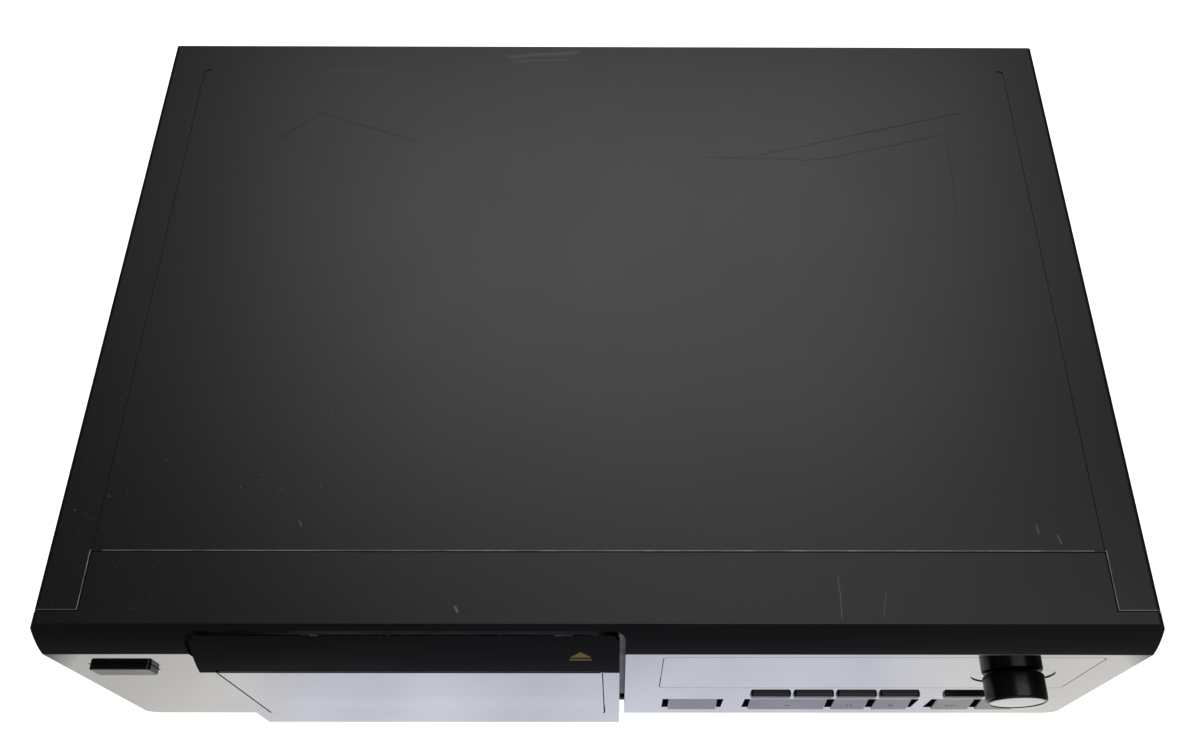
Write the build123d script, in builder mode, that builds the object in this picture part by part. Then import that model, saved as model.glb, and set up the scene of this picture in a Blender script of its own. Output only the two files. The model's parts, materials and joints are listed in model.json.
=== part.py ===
from build123d import *
import os
from math import acos, cos, pi, radians, sin

# A disc changer: a cabinet with a flip-down loading door at the left, a carousel of upright disc
# slots behind it, an upright player beside the carousel, and keys, display and dial at the right.
#
# Millimetres. While it is built, x = 0 is the middle, y = 0 the upright face of the fascia with y
# growing to the rear, and z = 0 the lower edge of the fascia. Each piece is moved by to_origin when
# it is written, so the finished object stands on z = 0 with its origin under its middle.

# ---------------------------------------------------------------- overall sizes
fascia_width = 430.0
fascia_height = 141.3
body_depth = 290.2  # fascia face to the rear edge of the cover
foot_height = 8.0
dial_reach = 11.0  # how far the dial stands out of the fascia
socket_reach = 6.8  # how far the phono sockets stand out behind the cover
fascia_half = fascia_width / 2
to_origin = Location((0, (dial_reach - body_depth - socket_reach) / 2, foot_height))

# ---------------------------------------------------------------- clearances
seam = 0.3  # gap between a cover or panel and its neighbour
key_gap = 0.25  # round each small key in its hole
slide_gap = 0.4  # round larger sliding pieces
running_gap = 0.05  # radial, shaft in its bore
contact_gap = 0.1  # a key's stem and its switch at full travel

# ---------------------------------------------------------------- fascia
fascia_wall = 3.0
fascia_side_wall = 2.5
fascia_return = 12.0  # depth of the fascia's sides and lower lip
band_height = 17.3  # glossy band between the upright face and the crease
crease_back = 7.5
band_bulge = 0.9
band_bend_radius = 5.0
flange_ledge = 7.4  # strip of the flange under the cover's front edge
lower_corner_radius = 6.0
upper_corner_radius = 2.5
band_low = fascia_height - band_height

# ---------------------------------------------------------------- cover
cover_gauge = 1.0
cover_rise = 0.7  # top of the cover above the fascia's flange
cover_inset = 0.5  # cover's side inside the fascia's side
cover_corner_radius = 2.2
notch_half_width = 197.8
notch_depth = 35.0
groove_offset = 195.5
groove_width = 4.0
groove_depth = 0.5
groove_end_margin = 15.2
cover_top = fascia_height + cover_rise
cover_half = fascia_half - cover_inset
cover_inside = cover_half - cover_gauge
cover_front = fascia_return + seam
side_screw_inset = 48.0  # from the cover's front and rear edges
side_screw_height = 9.0

# ---------------------------------------------------------------- chassis, rear panel, feet
chassis_gauge = 1.2
chassis_low = 0.8
chassis_flange = 15.0
chassis_front_flange = 6.3
rear_gauge = 1.0
rear_inset = 2.8  # rear panel inside the cover's rear edge
floor_z = chassis_low + chassis_gauge
chassis_half = cover_inside - 0.5
rear_face = body_depth - rear_inset
rear_inner = rear_face - rear_gauge
chassis_front = fascia_return + seam
chassis_rear = rear_inner - 0.2
foot_radius = 19.0
foot_side_inset = 50.0
foot_front_inset = 45.0
vent_centre = (98.0, 222.0)

# ---------------------------------------------------------------- fasteners
screw_radius = 1.5
screw_head_radius = 3.0
screw_head_height = 2.0
screw_length = 6.0

# ---------------------------------------------------------------- door
door_left = -156.0
door_right = 8.0
door_gap = 2.4
door_low = 5.0
door_top = 137.0
door_band_low = 115.0
door_proud = 5.0
door_wall = 3.0
door_top_back = 4.0  # depth of the door's top edge and of its side walls
door_band_bulge = 1.0
door_corner_radius = 5.0
recess_depth = 5.5
recess_top = 138.1
recess_wall = 2.5
recess_wall_low = 17.0
behind_band = 0.5  # how far the tops of the recess's walls keep behind the band's outer face
doorway_margin = 10.5  # doorway's sides inside the recess
doorway_low = 22.0
doorway_top = 132.0
hinge_y = 5.5
hinge_z = 10.0
hinge_pin_radius = 1.5
hinge_boss_radius = 3.0
hinge_boss_length = 8.0
window_side_frame = 6.3
window_low = 28.0
window_top = 117.0
window_thickness = 1.9
window_proud = 0.25
window_ledge = 3.0
door_middle = (door_left + door_right) / 2

# ---------------------------------------------------------------- gears
pressure_angle = radians(20)
addendum_ratio = 0.7
dedendum_ratio = 1.0
backlash = 0.3

# ---------------------------------------------------------------- door damper and catch
door_sector_teeth = 28
damper_teeth = 10
damper_module = 1.0
damper_angle = 60.0  # direction from the hinge to the damper, above straight back
door_travel = 85.0
sector_thickness = 3.0
sector_inset = 3.0  # sector inside the door's left end
damper_case_radius = 5.8
damper_case_length = 6.5
striker_thickness = 2.8
striker_height = 8.0
striker_reach = 11.0
striker_z = 119.0
catch_wall = 1.6
catch_clearance = 0.9

# ---------------------------------------------------------------- keys and board
board_y = 15.0
board_thickness = 1.6
board_left = 23.0
board_right = 207.0
board_low = 6.0
board_top = 120.0
switch_size = 6.0
switch_depth = 3.5
plunger_radius = 1.5
plunger_length = 0.9
key_travel = 0.9
stem_radius = 1.6
key_flange_depth = 1.0
key_flange_gap = 0.3
small_key_width = 17.6
small_key_pitch = 19.0
small_key_height = 5.5
small_key_top = 48.5
small_key_proud = 1.5
small_key_lefts = {
    "continue_key": 66.3,
    "shuffle_key": 66.3 + small_key_pitch,
    "program_key": 66.3 + 2 * small_key_pitch,
    "repeat_key": 66.3 + 3 * small_key_pitch,
    "rewind_key": 151.8,
    "forward_key": 151.8 + small_key_pitch,
}
large_row_low = 14.7
large_row_high = 34.1
large_key_margin = 0.45
large_key_proud = 1.2  # lower edge of the slanted face
large_key_sunk = 1.0  # upper edge of the slanted face
large_key_spans = {
    "disc_skip_key": (30.4, 52.7),
    "play_key": (67.5, 102.8),
    "pause_key": (106.0, 121.6),
    "stop_key": (124.8, 141.2),
    "previous_key": (152.6, 169.8),
    "next_key": (172.9, 190.1),
}
large_openings = [(27.6, 55.1), (64.7, 143.5), (149.1, 192.9)]

# ---------------------------------------------------------------- power key
power_left = -203.2
power_width = 24.3
power_top = 107.2
power_height = 11.5
power_proud = 2.2
power_travel = 2.0
power_switch_y = 20.0
power_switch_size = (18.0, 26.0, 14.0)

# ---------------------------------------------------------------- display window and dial
display_left = 25.5
display_right = 199.0
display_low = 60.0
display_top = 119.0
display_thickness = 2.0
display_corner_radius = 3.0
display_seam = 0.4
sight_left = 36.0
sight_right = 148.0
sight_low = 70.0
sight_top = 106.0
dial_x = 171.0
dial_z = 86.4
dial_hole_radius = 17.0
dial_radius = 12.5
dial_lift = 0.6  # between the dial and its bezel
bezel_sink = 0.4
bezel_rim = 2.5
encoder_shaft_radius = 3.0
encoder_size = 13.0
encoder_depth = 6.5
encoder_neck_radius = 4.5
tube_depth = 6.0

# ---------------------------------------------------------------- carousel
carousel_x = -74.0
carousel_radius = 134.0
carousel_front = 12.0  # from the fascia's face to the carousel's front
carousel_y = carousel_front + carousel_radius
slot_count = 51
slot_width = 6.0
divider_inner_radius = 62.0
divider_height = 40.0
deck_thickness = 2.5
rim_module = 2.0
rim_overhang = 2.0  # plate outside the rim gear's pitch circle
rim_teeth = round((carousel_radius - rim_overhang) * 2 / rim_module)
rim_gear_height = 4.0
rim_gear_width = 16.0  # ring that carries the teeth, inwards from the plate's edge
rim_gear_bore = carousel_radius - rim_gear_width
carousel_plate = 2.5
carousel_lift = 2.0  # underside of the rim gear above the deck
axle_radius = 4.0
axle_height = 18.0
hub_radius = 14.0
drive_teeth = 12
drive_angle = -45.0  # direction from the carousel's axle to its drive gear
drive_axle_radius = 2.0
drive_pulley_radius = 8.5
pulley_height = 5.0
belt_thickness = 1.2
belt_groove = 1.0
motor_pulley_radius = 3.5
motor_offset_x = 29.0
motor_offset_y = -12.0
motor_radius = 9.0
motor_length = 15.0
motor_shaft_radius = 1.0
motor_bracket_gauge = 1.5

# ---------------------------------------------------------------- player
disc_radius = 60.0
disc_floor = 14.0  # lower edge of a standing disc
spindle_x = 137.0
player_left = 68.0
player_right = 207.0
player_plate_setback = 18.0  # forward from the disc's plane, which holds the carousel's axle
player_plate_y = carousel_y - player_plate_setback
player_plate = 3.0
player_top = 134.0
turntable_radius = 15.0
turntable_rim = 3.0
centring_radius = 7.3
centring_height = 4.5
spindle_motor_radius = 11.0
spindle_motor_length = 14.0
spindle_shaft_radius = 1.25
rod_radius = 1.5
rod_setback = 27.0  # forward from the disc's plane
rod_y = carousel_y - rod_setback
rod_half_spacing = 12.0
rod_right = 130.0
lug_width = 4.0
sled_width = 18.0
sled_right = 122.0
sled_travel = 31.0
lens_radius = 6.0
rack_module = 1.0
feed_teeth = 12
feed_gear_x = 101.0
loading_module = 1.0
arm_teeth = 20
loading_teeth = 24
arm_pivot_x = 80.0
arm_pivot_z = 22.0
arm_length = 34.0
arm_width = 8.0
arm_travel = 35.0
clamp_wall_x = 203.0
clamp_pivot_setback = 20.0  # rearward from the disc's plane
clamp_pivot_y = carousel_y + clamp_pivot_setback
clamp_travel = 9.0
puck_radius = 14.0
puck_thickness = 5.0
puck_stub_radius = 3.0

# ---------------------------------------------------------------- power supply and sockets
board_lift = 8.0
main_board_left = 72.0
main_board_right = 150.0
main_board_front = 182.0
capacitors = (  # x, y, radius and height
    (84.0, 258.0, 9.0, 32.0),
    (108.0, 260.0, 9.0, 32.0),
    (130.0, 250.0, 6.5, 22.0),
    (138.0, 200.0, 5.0, 14.0),
    (138.0, 224.0, 5.0, 14.0),
)
board_parts = ((92.0, 205.0, 14.0), (118.0, 215.0, 20.0), (100.0, 240.0, 12.0))  # x, y and width
transformer_x = 182.0
transformer_y = 240.0
core_size = (48.0, 32.0, 40.0)
winding_size = (30.0, 50.0, 24.0)
phono_x = (168.0, 184.0)
phono_z = 112.0
phono_radius = 4.15
phono_bore = 1.65
phono_bore_depth = 12.0
optical_x = 146.0
optical_size = 9.7
control_x = (112.0, 126.0)
control_radius = 4.0
control_bore = 1.8
gland_x = 196.0
gland_z = 30.0
gland_radius = 6.0
gland_flange_radius = 8.0
gland_bore = 3.6


# ================================================================ helpers
def front_plane(y):
    """Sketch plane facing the front: sketches read (x, z), and a negative extrude runs to the rear."""
    return Plane(origin=(0, y, 0), x_dir=(1, 0, 0), z_dir=(0, -1, 0))


def side_plane(x):
    """Sketch plane facing the right: sketches read (y, z), and an extrude runs to the right."""
    return Plane(origin=(x, 0, 0), x_dir=(0, 1, 0), z_dir=(1, 0, 0))


def block(x, y, z, mode=Mode.ADD):
    """A box that spans x, y and z, each a pair from low to high."""
    with Locations(((x[0] + x[1]) / 2, (y[0] + y[1]) / 2, (z[0] + z[1]) / 2)):
        Box(x[1] - x[0], y[1] - y[0], z[1] - z[0], mode=mode)


def rod_x(x, y, z, radius, mode=Mode.ADD):
    """A round bar along X that spans the pair x."""
    with Locations(Location(((x[0] + x[1]) / 2, y, z), (0, 90, 0))):
        Cylinder(radius, x[1] - x[0], mode=mode)


def rod_y_axis(x, y, z, radius, mode=Mode.ADD):
    """A round bar along Y that spans the pair y."""
    with Locations(Location((x, (y[0] + y[1]) / 2, z), (90, 0, 0))):
        Cylinder(radius, y[1] - y[0], mode=mode)


def rod_z(x, y, z, radius, mode=Mode.ADD):
    """A round bar along Z that spans the pair z."""
    with Locations((x, y, (z[0] + z[1]) / 2)):
        Cylinder(radius, z[1] - z[0], mode=mode)


def gear_points(teeth, module, tooth_at):
    """Outline of a spur gear about the origin, with one tooth centred on the angle tooth_at."""
    pitch_radius = module * teeth / 2
    base_radius = pitch_radius * cos(pressure_angle)
    tip_radius = pitch_radius + addendum_ratio * module
    root_radius = pitch_radius - dedendum_ratio * module
    flank_radius = max(base_radius, root_radius)

    def involute(radius):
        slope = acos(min(1, base_radius / radius))
        return sin(slope) / cos(slope) - slope

    half_pitch = pi / (2 * teeth) - backlash / (4 * pitch_radius) + involute(pitch_radius)
    steps = 3
    flank = [(root_radius, half_pitch - involute(flank_radius))]
    for step in range(steps + 1):
        radius = flank_radius + (tip_radius - flank_radius) * step / steps
        if radius > root_radius:
            flank.append((radius, half_pitch - involute(radius)))
    points = []
    for tooth in range(teeth):
        middle = radians(tooth_at) + 2 * pi * tooth / teeth
        for side, run in ((-1, flank), (1, flank[::-1])):
            for radius, half_angle in run:
                angle = middle + side * half_angle
                points.append((radius * cos(angle), radius * sin(angle)))
    return points


def shifted(points, x, y):
    """The same outline about another centre."""
    return [(x + px, y + py) for px, py in points]


def gear_disc(plane, teeth, module, tooth_at, centre, thickness):
    """A spur gear on plane about centre, thickness along the plane's normal."""
    outline = shifted(gear_points(teeth, module, tooth_at), *centre)
    with BuildSketch(plane, mode=Mode.PRIVATE) as profile:
        with BuildLine():
            Polyline(*outline, close=True)
        make_face()
    extrude(profile.sketch, amount=thickness)


pieces = []


def finish(name, builder):
    """Names a finished piece and keeps it for writing."""
    builder.part.label = name
    pieces.append(builder.part)


# ================================================================ chassis pan
foot_x = fascia_half - foot_side_inset
foot_ys = (foot_front_inset, rear_face - foot_front_inset)
side_screw_ys = (cover_front + side_screw_inset, body_depth - side_screw_inset)
recess_left = door_left - door_gap
recess_right = door_right + door_gap
sector_left = door_left + sector_inset
sector_radius = damper_module * door_sector_teeth / 2
sector_slot = (sector_left - 1.0, sector_left + sector_thickness + 1.0)
rear_top = cover_top - cover_gauge - groove_depth - seam
rear_screw_low = 9.5
rear_screw_places = [
    (-190, rear_top - 8),
    (0, rear_top - 8),
    (190, rear_top - 8),
    (-150, rear_screw_low),
    (-20, rear_screw_low),
    (100, rear_screw_low),
]

with BuildPart() as chassis:
    block((-chassis_half, chassis_half), (chassis_front, chassis_rear), (chassis_low, floor_z))
    for side in (-1, 1):
        wall = sorted((side * chassis_half, side * (chassis_half - chassis_gauge)))
        block(wall, (chassis_front, chassis_rear), (chassis_low, chassis_flange))
        for y in side_screw_ys:
            rod_x(wall, y, side_screw_height, screw_radius, Mode.SUBTRACT)
    block(
        (-chassis_half, chassis_half),
        (chassis_rear - chassis_gauge, chassis_rear),
        (chassis_low, chassis_flange),
    )
    block(
        (recess_right + 12, chassis_half),
        (chassis_front, chassis_front + chassis_gauge),
        (chassis_low, chassis_front_flange),
    )
    for x, z in rear_screw_places:
        if z < chassis_flange:
            flange_y = (chassis_rear - chassis_gauge - 1, chassis_rear + 1)
            rod_y_axis(x, flange_y, z, screw_radius, Mode.SUBTRACT)
    with BuildSketch(Plane.XY.offset(chassis_low)):
        with Locations(vent_centre):
            with GridLocations(9, 40, 8, 2):
                SlotOverall(30, 3, rotation=90)
    extrude(amount=chassis_gauge, mode=Mode.SUBTRACT)
    # notch under the door's toothed sector
    notch_x = (sector_slot[0] - 1, sector_slot[1] + 1)
    notch_y = (chassis_front - 1, hinge_y + sector_radius + 6)
    block(notch_x, notch_y, (0, floor_z + 1), Mode.SUBTRACT)
finish("chassis", chassis)

# ================================================================ feet
with BuildPart() as feet:
    for x in (-foot_x, foot_x):
        for y in foot_ys:
            rod_z(x, y, (-foot_height, chassis_low), foot_radius)
    chamfer(feet.edges().group_by(Axis.Z)[0], 1.5)
    for x in (-foot_x, foot_x):
        for y in foot_ys:
            rod_z(x, y, (-foot_height, -foot_height + 3), foot_radius / 3, Mode.SUBTRACT)
finish("feet", feet)

# ================================================================ top cover
cover_low = 1.0
with BuildPart() as top_cover:
    with BuildSketch(front_plane(cover_front)) as cover_section:
        with Locations((0, (cover_low + cover_top) / 2)):
            Rectangle(2 * cover_half, cover_top - cover_low)
        fillet(cover_section.vertices().group_by(Axis.Y)[-1], cover_corner_radius)
        with BuildSketch(mode=Mode.PRIVATE) as cover_hollow:
            with Locations((0, (cover_low + cover_top) / 2 - cover_gauge)):
                Rectangle(2 * cover_inside, cover_top - cover_low)
            fillet(
                cover_hollow.vertices().group_by(Axis.Y)[-1],
                cover_corner_radius - cover_gauge,
            )
        add(cover_hollow.sketch, mode=Mode.SUBTRACT)
    extrude(amount=-(body_depth - cover_front))
    block(
        (-notch_half_width, notch_half_width),
        (0, notch_depth),
        (cover_top - 5, cover_top + 1),
        Mode.SUBTRACT,
    )
    groove_y = (notch_depth - groove_width, body_depth - groove_end_margin)
    for x in (-groove_offset, groove_offset):
        middle = (x, sum(groove_y) / 2)
        length = groove_y[1] - groove_y[0]
        with BuildSketch(Plane.XY.offset(cover_top - cover_gauge - groove_depth)):
            with Locations(middle):
                SlotOverall(length, groove_width + 1.6, rotation=90)
        extrude(amount=groove_depth)
        with BuildSketch(Plane.XY.offset(cover_top - groove_depth)):
            with Locations(middle):
                SlotOverall(length, groove_width, rotation=90)
        extrude(amount=groove_depth, mode=Mode.SUBTRACT)
    block(
        (-notch_half_width, notch_half_width),
        (0, notch_depth),
        (cover_top - 5, cover_top + 1),
        Mode.SUBTRACT,
    )
    for side in (-1, 1):
        for y in side_screw_ys:
            turn = 90 * side
            with Locations(Location((side * cover_half, y, side_screw_height), (0, turn, 0))):
                CounterSinkHole(screw_radius, screw_head_radius, depth=cover_gauge + 2)
finish("top_cover", top_cover)

# ================================================================ side screws, countersunk
with BuildPart() as side_screws:
    for side in (-1, 1):
        for y in side_screw_ys:
            head = Plane(
                origin=(side * (cover_half - 0.1), y, side_screw_height),
                x_dir=(0, 1, 0),
                z_dir=(-side, 0, 0),
            )
            with BuildSketch(head):
                Circle(screw_head_radius - 0.15)
            extrude(amount=screw_head_radius - screw_radius, taper=45)
            with BuildSketch(head):
                Circle(screw_radius - running_gap)
            extrude(amount=screw_length)
finish("side_screws", side_screws)

# ================================================================ rear panel
rear_low = chassis_low
rear_half = cover_inside - seam
with BuildPart() as rear_panel:
    block((-rear_half, rear_half), (rear_inner, rear_face), (rear_low, rear_top))
    through = (rear_inner - 1, rear_face + 1)
    for x in phono_x:
        rod_y_axis(x, through, phono_z, phono_radius + seam, Mode.SUBTRACT)
    for x in control_x:
        rod_y_axis(x, through, phono_z, control_radius + seam, Mode.SUBTRACT)
    half = optical_size / 2 + seam
    block((optical_x - half, optical_x + half), through, (phono_z - half, phono_z + half), Mode.SUBTRACT)
    rod_y_axis(gland_x, through, gland_z, gland_radius + running_gap, Mode.SUBTRACT)
    for x, z in rear_screw_places:
        rod_y_axis(x, through, z, screw_radius, Mode.SUBTRACT)
    with BuildSketch(front_plane(rear_inner)):
        with Locations((120, 45)):
            with GridLocations(7, 0, 12, 1):
                SlotOverall(36, 3, rotation=90)
    extrude(amount=-rear_gauge, mode=Mode.SUBTRACT)
finish("rear_panel", rear_panel)

# ================================================================ rear screws, pan head
with BuildPart() as rear_screws:
    for x, z in rear_screw_places:
        rod_y_axis(x, (rear_face, rear_face + screw_head_height), z, screw_head_radius)
        rod_y_axis(x, (rear_face - screw_length, rear_face), z, screw_radius - running_gap)
        slot_y = (rear_face + screw_head_height - 1, rear_face + screw_head_height)
        block((x - 1.8, x + 1.8), slot_y, (z - 0.35, z + 0.35), Mode.SUBTRACT)
        block((x - 0.35, x + 0.35), slot_y, (z - 1.8, z + 1.8), Mode.SUBTRACT)
finish("rear_screws", rear_screws)

# ================================================================ front panel
flange_end = notch_depth + flange_ledge
ledge_z = cover_top - cover_gauge - 0.1
flange_low = fascia_height - fascia_wall
power_right = power_left + power_width
display_pocket = (display_left - display_seam, display_right + display_seam)
boss_places = [(30.0, 9.8), (200.0, 9.8), (58.0, 54.0), (200.0, 54.0)]

with BuildPart() as front_panel:
    with BuildSketch(side_plane(-fascia_half)) as shell_section:
        with BuildLine():
            Line((0, 0), (0, band_low))
            SagittaArc((0, band_low), (crease_back, fascia_height), band_bulge)
            Polyline(
                (crease_back, fascia_height),
                (notch_depth - seam, fascia_height),
                (notch_depth - seam, ledge_z),
                (flange_end, ledge_z),
                (flange_end, flange_low),
                (crease_back + 1.5, flange_low),
                (fascia_wall, band_low - 1),
                (fascia_wall, fascia_side_wall),
                (fascia_return, fascia_side_wall),
                (fascia_return, 0),
                (0, 0),
            )
        make_face()
        fillet(shell_section.vertices().sort_by_distance((0, band_low))[0], band_bend_radius)
    extrude(amount=fascia_width)
    # end walls
    for x in (-fascia_half, fascia_half - fascia_side_wall):
        with BuildSketch(side_plane(x)) as end_section:
            with BuildLine():
                Line((0, 0), (0, band_low))
                SagittaArc((0, band_low), (crease_back, fascia_height), band_bulge)
                Polyline(
                    (crease_back, fascia_height),
                    (fascia_return, fascia_height),
                    (fascia_return, 0),
                    (0, 0),
                )
            make_face()
            fillet(end_section.vertices().sort_by_distance((0, band_low))[0], band_bend_radius)
        extrude(amount=fascia_side_wall)
    # rounded corners of the front outline
    with BuildSketch(front_plane(-1)) as corners:
        with Locations((0, fascia_height / 2)):
            Rectangle(fascia_width, fascia_height)
        fillet(corners.vertices().group_by(Axis.Y)[0], lower_corner_radius)
        fillet(corners.vertices().group_by(Axis.Y)[-1], upper_corner_radius)
    extrude(amount=-(flange_end + 2), mode=Mode.INTERSECT)
    # behind the fascia's sides the flange runs inside the cover, under its front tabs
    for side in (-1, 1):
        outer = sorted((side * (cover_half - cover_corner_radius), side * (fascia_half + 1)))
        block(outer, (fascia_return, flange_end + 1), (0, fascia_height + 1), Mode.SUBTRACT)
        tab = sorted((side * (notch_half_width - seam), side * (fascia_half + 1)))
        block(tab, (fascia_return, flange_end + 1), (ledge_z, fascia_height + 1), Mode.SUBTRACT)
        # and gives way to the underside of the cover's grooves
        groove_low = cover_top - cover_gauge - groove_depth - 0.2
        channel_end = side * (groove_offset + groove_width)
        channel = sorted((side * (groove_offset - groove_width), channel_end))
        block(channel, (notch_depth - seam, flange_end + 1), (groove_low, fascia_height), Mode.SUBTRACT)
        channel = sorted((side * (notch_half_width - seam), channel_end))
        channel_front = notch_depth - groove_width - 2
        block(channel, (channel_front, notch_depth), (groove_low, fascia_height), Mode.SUBTRACT)
    # recess for the door, open at its lower edge
    with BuildSketch(front_plane(-1)) as recess:
        with Locations(((recess_left + recess_right) / 2, (recess_top - 1) / 2)):
            Rectangle(recess_right - recess_left, recess_top + 1)
        fillet(recess.vertices().group_by(Axis.Y)[-1], door_corner_radius)
    extrude(amount=-(recess_depth + 1), mode=Mode.SUBTRACT)
    block(
        (recess_left, recess_right),
        (0, fascia_return + 1),
        (-1, recess_wall_low),
        Mode.SUBTRACT,
    )
    # back wall and side walls of the recess, whose tops keep behind the leaning band
    wall_back = recess_depth + recess_wall
    wall_top = flange_low + 1
    lean = crease_back / band_height
    wall_starts = (
        (recess_left - recess_wall, recess_right + recess_wall, recess_depth, recess_wall_low),
        (recess_left - fascia_wall, recess_left, fascia_wall, 0),
        (recess_right, recess_right + fascia_wall, fascia_wall, 0),
    )
    for left, right, front, low in wall_starts:
        with BuildSketch(side_plane(left)):
            with BuildLine():
                Polyline(
                    (front, low),
                    (front, wall_top),
                    (wall_back, wall_top),
                    (wall_back, low),
                    close=True,
                )
            make_face()
            with BuildLine():
                Polyline(
                    (behind_band, band_low),
                    (behind_band + (wall_top + 1 - band_low) * lean, wall_top + 1),
                    (behind_band, wall_top + 1),
                    close=True,
                )
            make_face(mode=Mode.SUBTRACT)
        extrude(amount=right - left)
    for x in (recess_left - fascia_wall, recess_right):
        block((x, x + fascia_wall), (fascia_wall, wall_back + 2), (0, recess_wall_low))
    doorway = (recess_left + doorway_margin, recess_right - doorway_margin)
    wall_y = (recess_depth - 0.1, recess_depth + recess_wall + 0.1)
    with BuildSketch(front_plane(wall_y[0])):
        with Locations((sum(doorway) / 2, (doorway_low + doorway_top) / 2)):
            RectangleRounded(doorway[1] - doorway[0], doorway_top - doorway_low, 4)
    extrude(amount=-(wall_y[1] - wall_y[0]), mode=Mode.SUBTRACT)
    # slots in that wall for the toothed sector, with its damper gear, and for the striker
    block(
        sector_slot,
        wall_y,
        (recess_wall_low - 1, hinge_z + sector_radius + 11),
        Mode.SUBTRACT,
    )
    striker_x = (door_right - door_wall - striker_thickness, door_right - door_wall)
    striker_slot = (striker_x[0] - catch_clearance, striker_x[1] + catch_clearance)
    block(
        striker_slot,
        wall_y,
        (striker_z - 1.5, striker_z + striker_height + 1.5),
        Mode.SUBTRACT,
    )
    # hinge pin holes through the recess's side walls
    for x in (recess_left - fascia_wall - 1, recess_right - 1):
        rod_x((x, x + fascia_wall + 2), hinge_y, hinge_z, hinge_pin_radius + running_gap, Mode.SUBTRACT)
    # pocket for the display window, sight hole for the tube and hole for the dial's bezel
    with BuildSketch(front_plane(0)):
        with Locations((sum(display_pocket) / 2, (display_low + display_top) / 2)):
            RectangleRounded(
                display_pocket[1] - display_pocket[0],
                display_top - display_low + 2 * display_seam,
                display_corner_radius + display_seam,
            )
    extrude(amount=-display_thickness, mode=Mode.SUBTRACT)
    block((sight_left, sight_right), (0, fascia_wall + 1), (sight_low, sight_top), Mode.SUBTRACT)
    rod_y_axis(dial_x, (0, fascia_wall + 1), dial_z, dial_hole_radius, Mode.SUBTRACT)
    # key holes
    for left in small_key_lefts.values():
        block(
            (left - key_gap, left + small_key_width + key_gap),
            (-1, fascia_wall + 1),
            (small_key_top - small_key_height - key_gap, small_key_top + key_gap),
            Mode.SUBTRACT,
        )
    for left, right in large_openings:
        block((left, right), (-1, fascia_wall + 1), (large_row_low, large_row_high), Mode.SUBTRACT)
    block(
        (power_left - slide_gap, power_right + slide_gap),
        (-1, fascia_wall + 1),
        (power_top - power_height - slide_gap, power_top + slide_gap),
        Mode.SUBTRACT,
    )
    # bosses that carry the display board
    for x, z in boss_places:
        rod_y_axis(x, (fascia_wall - 0.5, board_y), z, 3.0)
        rod_y_axis(x, (board_y - 6, board_y + 1), z, 1.1, Mode.SUBTRACT)
    # arms that carry the power switch
    power_middle = (power_left + power_right) / 2
    power_z = power_top - power_height / 2
    for z in (power_z - power_switch_size[2] / 2 - 2, power_z + power_switch_size[2] / 2):
        block(
            (power_middle - 6, power_middle + 6),
            (fascia_wall - 0.5, power_switch_y + power_switch_size[1]),
            (z, z + 2),
        )
finish("front_panel", front_panel)

# ================================================================ front door
window_left = door_left + window_side_frame
window_right = door_right - window_side_frame


def door_section(inner):
    """The door's section: outer skin with its band, closed behind by inner points from top to bottom."""
    Line((-door_proud, door_low), (-door_proud, door_band_low))
    SagittaArc((-door_proud, door_band_low), (door_top_back, door_top), door_band_bulge)
    Polyline((door_top_back, door_top), *inner, (-door_proud, door_low))


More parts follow.
